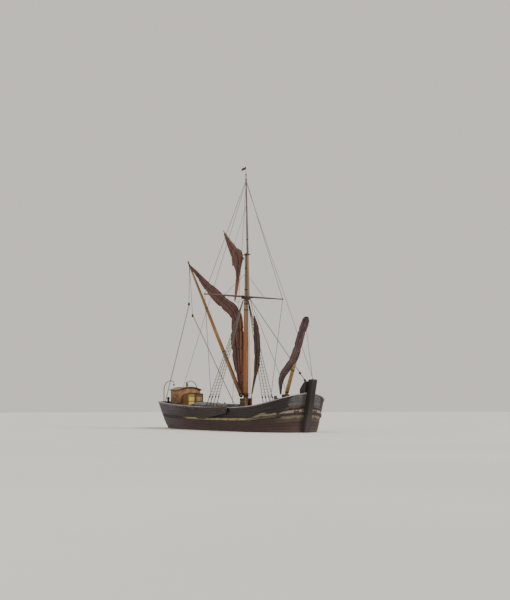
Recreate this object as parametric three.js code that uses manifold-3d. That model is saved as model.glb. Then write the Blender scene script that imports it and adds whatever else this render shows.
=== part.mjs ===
// A flat-bottomed sailing barge, laid up with her sails brailed and her bowsprit topped up.
// Units are millimetres. +X is forward, +Y is port, +Z is up.
// The origin is on the underside of the flat bottom, on the centreline, half-way along the planking.
import * as THREE from "three";
import { mergeVertices } from "three/addons/utils/BufferGeometryUtils.js";
import Module from "manifold-3d";

// ---- driving dimensions -------------------------------------------------------------------
const STERN_X = -11600; // ends of the planking, at rail height
const BOW_X = 11150;
const HALF_BEAM = 2800; // at the rail
const HALF_BOTTOM = 2600; // at the chine
const RAIL_LOW = 1900; // top of the rail at the lowest point of the sheer
const RAIL_RISE_BOW = 1000;
const RAIL_RISE_STERN = 560;
const BULWARK_HEIGHT = 450; // deck to the top of the rail
const STEM_HALF = 200; // half the siding of the stem
const TRANSOM_HALF_RAIL = 1800;
const TRANSOM_HALF_BOTTOM = 1100;
const STERN_RAKE = 800; // how far the rail overhangs the foot of the transom
const STEM_RAKE = 630; // how far the stem leans forward from foot to rail
const MAST_X = 1750;
const MAST_RADIUS = 210;
const HOUNDS_Z = 11000; // where the shrouds and the forestay meet the mast
const MAST_HEAD_Z = 14700;
const TRUCK_Z = 21300; // top of the topmast
const JOINT_GAP = 1; // between pieces that are fastened face to face
const RUNNING_GAP = 12; // between pieces that move past each other

const BODY_AFT_X = -4500; // the sides are parallel from here ...
const BODY_FORE_X = 5500; // ... to here
const SHEER_LOW_X = MAST_X - 200;

// ---- finishes -----------------------------------------------------------------------------
const FINISHES = {
  tarred_planking: { color: 0x35292b, roughness: 0.85 },
  bow_planking: { color: 0x4a4148, roughness: 0.8 },
  deck_planking: { color: 0x8d8072, roughness: 0.9 },
  weathered_rail: { color: 0xa79aa3, roughness: 0.85 },
  ochre_wale: { color: 0x8a7550, roughness: 0.85 },
  dark_oak: { color: 0x2a2426, roughness: 0.8 },
  oiled_pine: { color: 0xa4642e, roughness: 0.5 },
  pale_spar: { color: 0x8a6a44, roughness: 0.55 },
  tanned_canvas: { color: 0x6b3a2a, roughness: 0.95 },
  cabin_varnish: { color: 0xa36a38, roughness: 0.55 },
  cream_paint: { color: 0xd2b45e, roughness: 0.6 },
  tarred_rope: { color: 0x4a4238, roughness: 0.9 },
  rusty_iron: { color: 0x5a4034, roughness: 0.8, metalness: 0.5 },
  hatch_cloth: { color: 0x5c5048, roughness: 0.9 },
};

// ---- tools --------------------------------------------------------------------------------
const wasm = await Module();
wasm.setup();
const { lerp } = THREE.MathUtils;
const vec = (x, y, z) => new THREE.Vector3(x, y, z);
const UP = vec(0, 1, 0); // three.js cylinders and lathes stand along +Y

// The signed volume of a closed triangle mesh: negative if its faces point inwards.
function signedVolume(geometry) {
  const p = geometry.getAttribute("position");
  const index = geometry.index.array;
  const [a, b, c] = [vec(), vec(), vec()];
  let sum = 0;
  for (let i = 0; i < index.length; i += 3) {
    a.fromBufferAttribute(p, index[i]);
    b.fromBufferAttribute(p, index[i + 1]);
    c.fromBufferAttribute(p, index[i + 2]);
    sum += a.dot(b.cross(c)) / 6;
  }
  return sum;
}

// Joins rings of the same number of points into one closed skin with its ends filled.
function loft(rings) {
  const n = rings[0].length;
  const points = rings.flat();
  const index = [];
  for (let i = 0; i + 1 < rings.length; i++)
    for (let j = 0; j < n; j++) {
      const [a, b] = [i * n + j, i * n + ((j + 1) % n)];
      index.push(a, b, b + n, a, b + n, a + n);
    }
  [0, rings.length - 1].forEach((r) => {
    const centre = points.length;
    points.push(rings[r].reduce((s, p) => s.add(p), vec(0, 0, 0)).divideScalar(n));
    for (let j = 0; j < n; j++) {
      const [a, b] = [r * n + j, r * n + ((j + 1) % n)];
      if (r === 0) index.push(centre, b, a);
      else index.push(centre, a, b);
    }
  });
  const geometry = new THREE.BufferGeometry().setFromPoints(points);
  geometry.setIndex(index);
  if (signedVolume(geometry) < 0) geometry.setIndex(index.reverse());
  return geometry;
}

// three.js geometry to a manifold-3d solid, and back.
function solid(geometry, matrix = new THREE.Matrix4()) {
  const bare = new THREE.BufferGeometry();
  const flat = geometry.index ? geometry.toNonIndexed() : geometry;
  bare.setAttribute("position", flat.getAttribute("position").clone());
  bare.applyMatrix4(matrix);
  const merged = mergeVertices(bare, 1e-3);
  return new wasm.Manifold(
    new wasm.Mesh({
      numProp: 3,
      vertProperties: merged.attributes.position.array,
      triVerts: new Uint32Array(merged.index.array),
    }),
  );
}

function geometryOf(body) {
  const mesh = body.getMesh();
  const geometry = new THREE.BufferGeometry();
  geometry.setAttribute("position", new THREE.BufferAttribute(mesh.vertProperties, 3));
  geometry.setIndex(new THREE.BufferAttribute(mesh.triVerts, 1));
  return geometry;
}

// The biggest piece of a solid that booleans may have left in several.
function largest(body) {
  return geometryOf(body.decompose().sort((a, b) => b.volume() - a.volume())[0]);
}

function cut(geometry, ...holes) {
  return geometryOf(holes.reduce((body, hole) => body.subtract(solid(hole)), solid(geometry)));
}

const boxAt = (x0, x1, y0, y1, z0, z1) =>
  new THREE.BoxGeometry(x1 - x0, y1 - y0, z1 - z0).translate(
    (x0 + x1) / 2,
    (y0 + y1) / 2,
    (z0 + z1) / 2,
  );

// An outline in the X-Z plane, made `thickness` thick about y.
function plateXZ(shape, y, thickness) {
  const geometry = new THREE.ExtrudeGeometry(shape, { depth: thickness, bevelEnabled: false });
  return geometry.rotateX(Math.PI / 2).translate(0, y + thickness / 2, 0);
}

// An outline in the Y-Z plane, drawn with y across and z up, made from x0 to x1.
function plateYZ(shape, x0, x1) {
  const geometry = new THREE.ExtrudeGeometry(shape, { depth: x1 - x0, bevelEnabled: false });
  geometry.rotateX(Math.PI / 2).rotateZ(Math.PI / 2);
  return geometry.translate(x0, 0, 0);
}

const outline = (points) => new THREE.Shape(points.map(([a, b]) => new THREE.Vector2(a, b)));

const barge = new THREE.Group();

function piece(name, geometry, finish, parent = barge) {
  const mesh = new THREE.Mesh(geometry, new THREE.MeshStandardMaterial(FINISHES[finish]));
  mesh.name = name;
  parent.add(mesh);
  return mesh;
}

// A round spar from one point to another. Its profile lists [share of the length, radius].
function spar(name, from, to, profile, finish, parent = barge, sides = 12) {
  const length = from.distanceTo(to);
  const line = profile.map(([share, radius]) => new THREE.Vector2(radius, share * length));
  const ends = [new THREE.Vector2(0, 0), ...line, new THREE.Vector2(0, length)];
  const mesh = piece(name, new THREE.LatheGeometry(ends, sides), finish, parent);
  mesh.position.copy(from);
  mesh.quaternion.setFromUnitVectors(UP, to.clone().sub(from).normalize());
  return mesh;
}

// A wire or rope of even thickness, set up tight between two points.
const stay = (name, from, to, radius) =>
  spar(name, from, to, [[0, radius], [1, radius]], "tarred_rope", barge, 8);

// A gathered sail: rings of [half-width across the barge, half-depth along her] on a curve that
// lies fore and aft. Each row of `rows` is [x, z, half-width, half-depth, y of the middle].
function gathered(rows, stations = 14, sides = 12) {
  const curve = new THREE.CatmullRomCurve3(rows.map(([x, z, , , y = 0]) => vec(x, y, z)));
  const rings = [];
  for (let i = 0; i <= stations; i++) {
    const t = i / stations;
    const centre = curve.getPoint(t);
    const along = curve.getTangent(t);
    const inPlane = vec(0, 1, 0).cross(along).normalize();
    const place = t * (rows.length - 1);
    const row = Math.min(Math.floor(place), rows.length - 2);
    const across = lerp(rows[row][2], rows[row + 1][2], place - row);
    const deep = lerp(rows[row][3], rows[row + 1][3], place - row);
    rings.push(
      Array.from({ length: sides }, (_, j) => {
        const a = (2 * Math.PI * j) / sides;
        const point = centre.clone().addScaledVector(inPlane, deep * Math.sin(a));
        return point.addScaledVector(vec(0, 1, 0), across * Math.cos(a));
      }),
    );
  }
  return loft(rings);
}

// ---- hull form ----------------------------------------------------------------------------
// Top of the rail: a sheer that sweeps up more at the bow than at the stern.
function railTop(x) {
  const forward = (x - SHEER_LOW_X) / (BOW_X - SHEER_LOW_X);
  if (forward > 0) return RAIL_LOW + RAIL_RISE_BOW * forward ** 4.5;
  return RAIL_LOW + RAIL_RISE_STERN * ((SHEER_LOW_X - x) / (SHEER_LOW_X - STERN_X)) ** 1.5;
}

// Half-breadth at the rail and at the chine. `share` runs from 0 at the end of the parallel
// body to 1 at the stem, or at the transom.
const bluff = (share, fullness) => Math.sqrt(Math.max(0, 1 - share ** fullness));
const runIn = (half, end, share) => half - (half - end) * share ** 2;

const AFT_STATIONS = 12;
const BOW_STATIONS = 12;
const LEVELS = 6; // planking facets from the bottom to the deck

// A station: where the rail and the chine are at one place along the hull.
function station(i) {
  if (i <= AFT_STATIONS) {
    const x = lerp(STERN_X, BODY_FORE_X, i / AFT_STATIONS);
    const share = Math.max(0, (BODY_AFT_X - x) / (BODY_AFT_X - STERN_X));
    return {
      railX: x,
      railY: runIn(HALF_BEAM, TRANSOM_HALF_RAIL, share),
      footX: lerp(STERN_X + STERN_RAKE, BODY_FORE_X, i / AFT_STATIONS),
      footY: runIn(HALF_BOTTOM, TRANSOM_HALF_BOTTOM, share),
    };
  }
  const share = Math.sin((Math.PI / 2) * ((i - AFT_STATIONS) / BOW_STATIONS));
  return {
    railX: lerp(BODY_FORE_X, BOW_X, share),
    railY: Math.max(STEM_HALF, HALF_BEAM * bluff(share, 3.7)),
    footX: lerp(BODY_FORE_X, BOW_X - STEM_RAKE, share),
    footY: Math.max(STEM_HALF, HALF_BOTTOM * bluff(share, 2.8)),
  };
}

const STATIONS = Array.from({ length: AFT_STATIONS + BOW_STATIONS + 1 }, (_, i) => station(i));

// The point on the starboard (side -1) or port (side 1) planking at a station and a height.
function skin(s, z, side) {
  const share = z / railTop(s.railX);
  const y = lerp(s.footY, s.railY, share ** 0.75);
  return vec(lerp(s.footX, s.railX, share), side * y, z);
}

const deckZ = (s) => railTop(s.railX) - BULWARK_HEIGHT;
const DECK_THICKNESS = 60;

// Height of the deck at any x: straight from station to station, as the deck itself is.
function deckAt(x) {
  const line = STATIONS.map((s) => [skin(s, deckZ(s), 1).x, deckZ(s)]);
  const i = Math.min(Math.max(1, line.findIndex(([at]) => at >= x)), line.length - 1);
  const [[xa, za], [xb, zb]] = [line[i - 1], line[i]];
  return lerp(za, zb, (x - xa) / (xb - xa));
}

// Outward direction of the planking in plan at a station.
function outward(i, side) {
  const a = STATIONS[Math.max(0, i - 1)];
  const b = STATIONS[Math.min(STATIONS.length - 1, i + 1)];
  if (i === STATIONS.length - 1) return vec(1, 0, 0);
  if (i === 0) return vec(0, side, 0);
  return vec(a.railY - b.railY, side * (b.railX - a.railX), 0).normalize();
}

// A strip along one side of the hull. `corners` gives, for a station, [height, offset out] of
// each corner of its section.
function strake(side, corners, first = 0, last = STATIONS.length - 1) {
  const rings = [];
  for (let i = first; i <= last; i++) {
    const s = STATIONS[i];
    const out = outward(i, side);
    rings.push(corners(s).map(([z, off, at = z]) => {
      const p = skin(s, at, side).addScaledVector(out, off);
      return p.setZ(z);
    }));
  }
  return loft(rings);
}

// The planked body from the flat bottom up to `top`, with its skin moved out by `grow`.
function planking(top, grow) {
  const rings = STATIONS.map((s, i) => {
    const side = (sign) =>
      Array.from({ length: LEVELS + 1 }, (_, k) =>
        skin(s, (top(s) * k) / LEVELS, sign).addScaledVector(outward(i, sign), grow),
      );
    return [...side(-1), ...side(1).reverse()];
  });
  return loft(rings);
}

function addHull() {
  const under = (s) => deckZ(s) - DECK_THICKNESS;
  piece("hull", planking(under, 0), "tarred_planking");

  const slab = STATIONS.map((s) => [
    skin(s, under(s) + JOINT_GAP, -1),
    skin(s, deckZ(s), -1),
    skin(s, deckZ(s), 1),
    skin(s, under(s) + JOINT_GAP, 1),
  ]);
  piece("deck", loft(slab), "deck_planking");
}

const RAIL_THICKNESS = 80;
const RAIL_OVERHANG = 40;
const RAIL_INBOARD = 170;
const BULWARK_THICKNESS = 80;
const WALE_SHARE = 0.49; // height of the wale as a share of the rail's
const WALE_DEPTH = 170;
const WALE_STANDS_OUT = 90;

const LEEBOARD_PIVOT_X = MAST_X + 1900;
const LEEBOARD_PIVOT_Z = 1650;
const LEEBOARD_THICKNESS = 70;
const LEEBOARD_INNER = HALF_BEAM + WALE_STANDS_OUT + 30;

// Everything that stands on the deck is cut to the deck's own sheer.
const DECK_BLOCK = (() => {
  const wide = HALF_BEAM * 1.2;
  const rings = STATIONS.map((s) => {
    const { x, z } = skin(s, deckZ(s), 1);
    const top = z + JOINT_GAP;
    return [vec(x, -wide, 0), vec(x, -wide, top), vec(x, wide, top), vec(x, wide, 0)];
  });
  return solid(loft(rings));
})();
const onDeck = (geometry) => geometryOf(solid(geometry).subtract(DECK_BLOCK));

// Bulwark, rail and wale, for the two sides. Each is cut to what it is fastened to.
function addSide(name, side) {
  const railSection = (thick) => (s) => {
    const top = railTop(s.railX);
    return [
      [top - thick, RAIL_OVERHANG, top],
      [top, RAIL_OVERHANG, top],
      [top, -RAIL_INBOARD, top],
      [top - thick, -RAIL_INBOARD, top],
    ];
  };
  piece(`rail_${name}`, strake(side, railSection(RAIL_THICKNESS)), "weathered_rail");

  const railRoom = solid(strake(side, railSection(RAIL_THICKNESS + JOINT_GAP)));
  const bulwark = strake(side, (s) => [
    [deckZ(s) - 30, 0],
    [railTop(s.railX) - 20, 0],
    [railTop(s.railX) - 20, -BULWARK_THICKNESS],
    [deckZ(s) - 30, -BULWARK_THICKNESS],
  ]);
  const pinEnd = LEEBOARD_INNER + LEEBOARD_THICKNESS + 60;
  const pin = new THREE.CylinderGeometry(36, 36, pinEnd - HALF_BEAM + 40, 12);
  pin.translate(LEEBOARD_PIVOT_X, (side * (pinEnd + HALF_BEAM - 40)) / 2, LEEBOARD_PIVOT_Z);
  const fitted = solid(bulwark).subtract(railRoom).subtract(DECK_BLOCK).add(solid(pin));
  piece(`bulwark_${name}`, largest(fitted), "tarred_planking");

  const wale = strake(side, (s) => {
    const middle = railTop(s.railX) * WALE_SHARE;
    return [
      [middle - WALE_DEPTH / 2, -60],
      [middle - WALE_DEPTH / 2, WALE_STANDS_OUT],
      [middle + WALE_DEPTH / 2, WALE_STANDS_OUT],
      [middle + WALE_DEPTH / 2, -60],
    ];
  });
  const hullRoom = solid(planking(deckZ, 4 * JOINT_GAP));
  piece(`wale_${name}`, largest(solid(wale).subtract(hullRoom)), "ochre_wale");
}

// ---- ends of the hull ---------------------------------------------------------------------
const STEM_DEPTH = 360; // fore and aft, at the foot
const STEM_HEAD_Z = 3900;
const STEM_HEAD_X = 12000; // the fore side of the head
const TRANSOM_THICKNESS = 110;
const STERNPOST_DEPTH = 170;
const STERNPOST_HALF = 120;

// x of the planking's forward end, and of the transom's aft face, at a height.
const stemFaceX = (z) => BOW_X - STEM_RAKE + (STEM_RAKE * z) / railTop(BOW_X) + JOINT_GAP;
const sternX = (z) => STERN_X + STERN_RAKE - (STERN_RAKE * z) / railTop(STERN_X) - JOINT_GAP;
const transomX = (z) => sternX(z) - TRANSOM_THICKNESS;
const sternpostX = (z) => transomX(z) - JOINT_GAP - STERNPOST_DEPTH;

function addEnds() {
  const railZ = railTop(BOW_X);
  const stem = outline([
    [stemFaceX(0), 0],
    [stemFaceX(0) + STEM_DEPTH, 0],
    [stemFaceX(RAIL_LOW) + STEM_DEPTH + 170, RAIL_LOW],
    [STEM_HEAD_X, STEM_HEAD_Z - 90],
    [STEM_HEAD_X - 110, STEM_HEAD_Z],
    [STEM_HEAD_X - 580, STEM_HEAD_Z],
    [STEM_HEAD_X - 700, STEM_HEAD_Z - 180],
    [STEM_HEAD_X - 1250, STEM_HEAD_Z - 340],
    [STEM_HEAD_X - 1250, railZ + 20],
    [stemFaceX(railZ), railZ + 20],
    [stemFaceX(railZ), railZ],
  ]);
  piece("stem_post", plateXZ(stem, 0, 2 * STEM_HALF - 6), "dark_oak");

  const s = STATIONS[0];
  const top = railTop(s.railX);
  const section = (x) => {
    const edge = (sign) =>
      Array.from({ length: LEVELS + 1 }, (_, k) => {
        const z = (top * k) / LEVELS;
        return skin(s, z, sign).setX(x(z));
      });
    return [...edge(-1), ...edge(1).reverse()];
  };
  const railEnds = boxAt(STERN_X - 4 * JOINT_GAP, STERN_X + 200, -HALF_BEAM, HALF_BEAM,
    top - RAIL_THICKNESS - 4 * JOINT_GAP, top + 10);
  const board = loft([section(sternX), section(transomX)]);
  piece("transom", cut(board, railEnds), "tarred_planking");

  const post = outline([
    [transomX(60) - JOINT_GAP, 60],
    [sternpostX(60), 60],
    [sternpostX(top - 60), top - 60],
    [transomX(top - 60) - JOINT_GAP, top - 60],
  ]);
  piece("sternpost", plateXZ(post, 0, 2 * STERNPOST_HALF), "dark_oak");
}

// Two knees beside the stem head, which stand on the deck and lean out over the rail.
function addKnighthead(name, side) {
  const aft = BOW_X - 530;
  const inboard = BOW_X - 345;
  const railZ = railTop(BOW_X);
  const shape = outline([
    [aft, railTop(aft) - BULWARK_HEIGHT - 200],
    [inboard, railZ - BULWARK_HEIGHT - 200],
    [inboard, railZ + 20],
    [BOW_X + 90, railZ + 20],
    [BOW_X + 200, STEM_HEAD_Z - 130],
    [BOW_X - 50, STEM_HEAD_Z - 260],
    [aft, railTop(aft) + 520],
  ]);
  const y = side * (STEM_HALF + 20 + 120);
  piece(`knighthead_${name}`, onDeck(plateXZ(shape, y, 240)), "dark_oak");
}

// ---- rudder and steering ------------------------------------------------------------------
const RUDDER_CLEAR = 70;

function addRudder() {
  const edge = (z) => sternpostX(z) - RUDDER_CLEAR;
  const head = railTop(STERN_X) + 330;
  const blade = outline([
    [edge(110), 110],
    [edge(head), head],
    [edge(head) - 330, head],
    [edge(head) - 330, head - 420],
    [edge(1450) - 620, 1500],
    [edge(500) - 1150, 560],
    [edge(110) - 1180, 110],
  ]);
  piece("rudder", plateXZ(blade, 0, 130), "dark_oak");
}

const WHEEL_X = MAST_X - 12790;
const WHEEL_Z = 2900;
const WHEEL_RIM_RADIUS = 480;
const WHEEL_REACH = 640; // to the ends of the spokes
const SPOKES = 8;

function addWheel() {
  const tube = (radius, length) => new THREE.CylinderGeometry(radius, radius, length, 8);
  const rimBand = [
    [WHEEL_RIM_RADIUS - 40, -28],
    [WHEEL_RIM_RADIUS + 40, -28],
    [WHEEL_RIM_RADIUS + 40, 28],
    [WHEEL_RIM_RADIUS - 40, 28],
    [WHEEL_RIM_RADIUS - 40, -28],
  ];
  const rim = new THREE.LatheGeometry(rimBand.map(([r, y]) => new THREE.Vector2(r, y)), 24);
  let wheel = solid(rim).add(solid(tube(90, 130)));
  for (let i = 0; i < SPOKES; i++) {
    const spoke = tube(20, WHEEL_REACH).translate(0, WHEEL_REACH / 2, 0);
    spoke.rotateX(Math.PI / 2).rotateY((2 * Math.PI * i) / SPOKES);
    wheel = wheel.add(solid(spoke));
  }
  const mesh = piece("steering_wheel", geometryOf(wheel), "dark_oak");
  mesh.position.set(WHEEL_X, 0, WHEEL_Z);
  mesh.rotation.z = Math.PI / 2;

  const face = WHEEL_X - 65 - RUNNING_GAP;
  const stand = outline([
    [-330, 1700],
    [330, 1700],
    [300, WHEEL_Z - 120],
    [150, WHEEL_Z + 120],
    [-150, WHEEL_Z + 120],
    [-300, WHEEL_Z - 120],
  ]);
  piece("wheel_stand", onDeck(plateYZ(stand, face - 260, face)), "cabin_varnish");
}

// ---- hatches ------------------------------------------------------------------------------
const COAMING_HEIGHT = 430;

// A coaming that follows the deck, and a cambered cover on it.
function addHatch(name, aft, fore, half, camber) {
  const steps = 6;
  const xs = Array.from({ length: steps + 1 }, (_, i) => lerp(aft, fore, i / steps));
  const coaming = xs.map((x) => [
    vec(x, -half, deckAt(x) - 50),
    vec(x, -half, deckAt(x) + COAMING_HEIGHT),
    vec(x, half, deckAt(x) + COAMING_HEIGHT),
    vec(x, half, deckAt(x) - 50),
  ]);
  piece(`${name}_coaming`, onDeck(loft(coaming)), "cabin_varnish");

  const wide = half + 60;
  const shares = [-1, -0.5, 0, 0.5, 1];
  const cover = xs.map((x) => {
    const z = deckAt(x) + COAMING_HEIGHT + JOINT_GAP;
    const crown = shares.map((k) => vec(x, k * wide, z + 60 + camber * (1 - k * k)));
    return [vec(x, -wide, z), ...crown, vec(x, wide, z)];
  });
  piece(`${name}_cover`, loft(cover), "hatch_cloth");
}

// ---- cabin and companion ------------------------------------------------------------------
const CABIN_AFT = MAST_X - 12300;
const CABIN_FORE = MAST_X - 10400;
const CABIN_HALF = 1000;
const WALL = 60;
const EAVE_Z = 3450;
const ROOF_CAMBER = 260;
const ROOF_THICKNESS = 70;
const ROOF_LAP = 130;
const COMPANION_FORE = MAST_X - 9330;
const COMPANION_HALF = 750;
const COMPANION_EAVE_Z = 3080;

// Points of an arch from -half to half, standing `rise` over `base` at its middle.
function arch(half, base, rise, count = 8) {
  return Array.from({ length: count + 1 }, (_, i) => {
    const k = lerp(-1, 1, i / count);
    return [k * half, base + rise * (1 - k * k)];
  });
}

// An arched slab over a house.
function roof(half, base, rise, x0, x1) {
  const under = arch(half, base, rise);
  const over = arch(half, base + ROOF_THICKNESS, rise).reverse();
  return plateYZ(outline([...under, ...over]), x0, x1);
}

function addCabin() {
  const low = 1500;
  for (const [name, side] of [["starboard", -1], ["port", 1]]) {
    const [y0, y1] = [side * CABIN_HALF, side * (CABIN_HALF - WALL)].sort((a, b) => a - b);
    const wall = boxAt(CABIN_AFT, CABIN_FORE, y0, y1, low, EAVE_Z - 6);
    const windows = [0.3, 0.72].map((share) => {
      const x = lerp(CABIN_AFT, CABIN_FORE, share);
      return boxAt(x - 230, x + 230, y0 - 50, y1 + 50, 2680, 3080);
    });
    piece(`cabin_side_${name}`, onDeck(cut(wall, ...windows)), "cabin_varnish");
  }
  const inner = CABIN_HALF - WALL - JOINT_GAP;
  const rise = (y) => ROOF_CAMBER * (1 - (y / (CABIN_HALF + ROOF_LAP)) ** 2);
  const gable = (half) => {
    const top = arch(half, 0, 0).map(([y]) => [y, EAVE_Z - 6 + rise(y)]).reverse();
    return outline([[-half, low], [half, low], ...top]);
  };
  piece("cabin_aft_wall", onDeck(plateYZ(gable(inner), CABIN_AFT, CABIN_AFT + WALL)), "cabin_varnish");
  const doorway = boxAt(CABIN_FORE - 200, CABIN_FORE + 50, -450, 450, 1500, COMPANION_EAVE_Z - 150);
  const front = cut(plateYZ(gable(inner), CABIN_FORE - WALL, CABIN_FORE), doorway);
  piece("cabin_front_wall", onDeck(front), "cabin_varnish");
  piece(
    "cabin_roof",
    roof(CABIN_HALF + ROOF_LAP, EAVE_Z, ROOF_CAMBER, CABIN_AFT - ROOF_LAP, CABIN_FORE + ROOF_LAP),
    "cabin_varnish",
  );

  // The companion: two sides and a top in one, open behind to the cabin and in front to the doors.
  const x0 = CABIN_FORE + ROOF_LAP + 20;
  const shell = outline([
    [-COMPANION_HALF, low],
    [-COMPANION_HALF + WALL, low],
    ...arch(COMPANION_HALF - WALL, COMPANION_EAVE_Z - WALL, 90, 6),
    [COMPANION_HALF - WALL, low],
    [COMPANION_HALF, low],
    ...arch(COMPANION_HALF, COMPANION_EAVE_Z, 90, 6).reverse(),
  ]);
  piece("companion", onDeck(plateYZ(shell, x0, COMPANION_FORE)), "cabin_varnish");

  const pipeX = lerp(CABIN_AFT, CABIN_FORE, 0.62);
  const foot = EAVE_Z + ROOF_THICKNESS + ROOF_CAMBER + 4;
  spar(
    "stovepipe",
    vec(pipeX, 0, foot),
    vec(pipeX, 0, foot + 430),
    [[0, 55], [0.8, 55], [0.82, 90], [0.94, 90], [1, 60]],
    "rusty_iron",
  );
}

const DOOR_THICKNESS = 45;

// One leaf of the companion doors, hung on its outer edge.
function addDoor(name, side) {
  const outer = COMPANION_HALF - 10;
  const [y0, y1] = [side * outer, side * 4].sort((a, b) => a - b);
  const sill = deckAt(COMPANION_FORE) + 130;
  const x0 = COMPANION_FORE + 6;
  const leaf = boxAt(x0, x0 + DOOR_THICKNESS, y0, y1, sill, COMPANION_EAVE_Z - 20);
  const middle = side * 370;
  const light = boxAt(x0 - 50, x0 + 100, middle - 150, middle + 150, sill + 560, sill + 950);
  piece(`companion_door_${name}`, cut(leaf, light), "cream_paint");
}

// ---- mast and spars -----------------------------------------------------------------------
const TOPMAST_X = MAST_X + 420;
const TOPMAST_RADIUS = 100;
const TOPMAST_LEAN = 450; // aft, from heel to truck
const TOPMAST_HEEL_Z = HOUNDS_Z - 300;
const CROSSTREE_HALF = 3800;
const CASE_TOP = 2620;

function addMast() {
  const cheekIn = MAST_RADIUS + RUNNING_GAP;
  const cheekOut = cheekIn + 120;
  const plan = boxAt(MAST_X - 420, MAST_X + 420, -cheekOut, cheekOut, 1200, CASE_TOP);
  const slot = boxAt(MAST_X - 300, MAST_X + 600, -cheekIn, cheekIn, 1100, CASE_TOP + 100);
  piece("mast_case", onDeck(cut(plan, slot)), "dark_oak");

  spar(
    "mainmast",
    vec(MAST_X, 0, deckAt(MAST_X) + 20),
    vec(MAST_X, 0, MAST_HEAD_Z),
    [[0, MAST_RADIUS], [0.35, MAST_RADIUS - 5], [0.7, 165], [0.74, 135], [0.98, 105], [1, 95]],
    "oiled_pine",
    barge,
    16,
  );
  spar(
    "topmast",
    vec(TOPMAST_X, 0, TOPMAST_HEEL_Z),
    vec(TOPMAST_X - TOPMAST_LEAN, 0, TRUCK_Z),
    [[0, TOPMAST_RADIUS], [0.4, TOPMAST_RADIUS - 8], [0.95, 52], [0.97, 44], [1, 42]],
    "pale_spar",
  );

  // Two bands hold the topmast: the cap at the masthead and the trestle at the hounds.
  const ring = (radius, x, z) =>
    new THREE.CylinderGeometry(radius, radius, 400, 16).rotateX(Math.PI / 2).translate(x, 0, z);
  const band = (z, thick, mastHole, topHole, grow) => {
    const rise = (z - TOPMAST_HEEL_Z) / (TRUCK_Z - TOPMAST_HEEL_Z);
    const topX = TOPMAST_X - TOPMAST_LEAN * rise;
    const plate = boxAt(MAST_X - mastHole - grow, topX + topHole + grow,
      -mastHole - grow, mastHole + grow, z - thick / 2, z + thick / 2);
    return cut(plate, ring(mastHole, MAST_X, z), ring(topHole, topX, z));
  };
  piece("mast_cap", band(MAST_HEAD_Z - 160, 90, 112, TOPMAST_RADIUS + 4, 60), "rusty_iron");

  const trestleTop = HOUNDS_Z - 35;
  piece("trestle", band(trestleTop - 65, 130, 176, TOPMAST_RADIUS + 10, 120), "dark_oak");

  // The crosstree lies across the after end of the trestle.
  const thick = 80;
  const tree = (side) => vec(MAST_X - 250, side * CROSSTREE_HALF, trestleTop + thick + JOINT_GAP);
  const taper = [[0, 55], [0.35, thick], [0.65, thick], [1, 55]];
  spar("crosstree", tree(-1), tree(1), taper, "pale_spar", barge, 10);

  const vaneFoot = TRUCK_Z + 4;
  const pole = new THREE.CylinderGeometry(14, 20, 800, 8).rotateX(Math.PI / 2).translate(0, 0, 400);
  const bob = new THREE.SphereGeometry(75, 12, 8).translate(0, 0, 84);
  const fly = boxAt(-780, 0, -9, 9, 560, 770);
  const vane = solid(pole).add(solid(bob)).add(solid(fly));
  const mesh = piece("masthead_vane", geometryOf(vane), "tarred_rope");
  mesh.position.set(TOPMAST_X - TOPMAST_LEAN, 0, vaneFoot);
}

// ---- sprit and mainsail -------------------------------------------------------------------
const SPRIT_Y = -(MAST_RADIUS + 170 + 20);
const SPRIT_HEEL = vec(MAST_X - 60, SPRIT_Y, 2760);
const SPRIT_PEAK = vec(MAST_X - 10250, SPRIT_Y, 15350);
const SPRIT_PROFILE = [[0, 150], [0.12, 165], [0.5, 150], [0.93, 85], [1, 62]];

function addSprit() {
  const mesh = spar("sprit", SPRIT_HEEL, SPRIT_PEAK, SPRIT_PROFILE, "pale_spar");

  // The head of the mainsail hangs from the sprit's end to the throat, and the rest is brailed
  // up and down the after side of the mast. It is cut clear of the spar.
  const head = gathered([
    [MAST_X - 9850, 14850, 80, 100, SPRIT_Y + 60],
    [MAST_X - 8400, 13800, 190, 280, -230],
    [MAST_X - 6900, 12700, 290, 430, -120],
    [MAST_X - 5150, 11650, 340, 600, -60],
    [MAST_X - 3350, 10650, 350, 620, 0],
    [MAST_X - 1850, 9800, 280, 520, 0],
    [MAST_X - 850, 9300, 170, 300, 0],
  ]);
  const bunt = gathered([
    [MAST_X - 700, 2850, 80, 90, 60],
    [MAST_X - 1050, 4050, 170, 420, 60],
    [MAST_X - 1400, 5600, 250, 800, 60],
    [MAST_X - 1560, 7000, 300, 980, 60],
    [MAST_X - 1560, 8200, 280, 950, 60],
    [MAST_X - 1350, 9200, 190, 700, 40],
    [MAST_X - 1000, 9950, 90, 320, 0],
  ]);
  mesh.updateMatrix();
  const length = SPRIT_HEEL.distanceTo(SPRIT_PEAK);
  const line = SPRIT_PROFILE.map(([share, r]) => new THREE.Vector2(r + 18, share * length));
  const ends = [new THREE.Vector2(0, 0), ...line, new THREE.Vector2(0, length)];
  const room = solid(new THREE.LatheGeometry(ends, 12), mesh.matrix);
  piece("mainsail", largest(solid(head).add(solid(bunt)).subtract(room)), "tanned_canvas");
}

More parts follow.
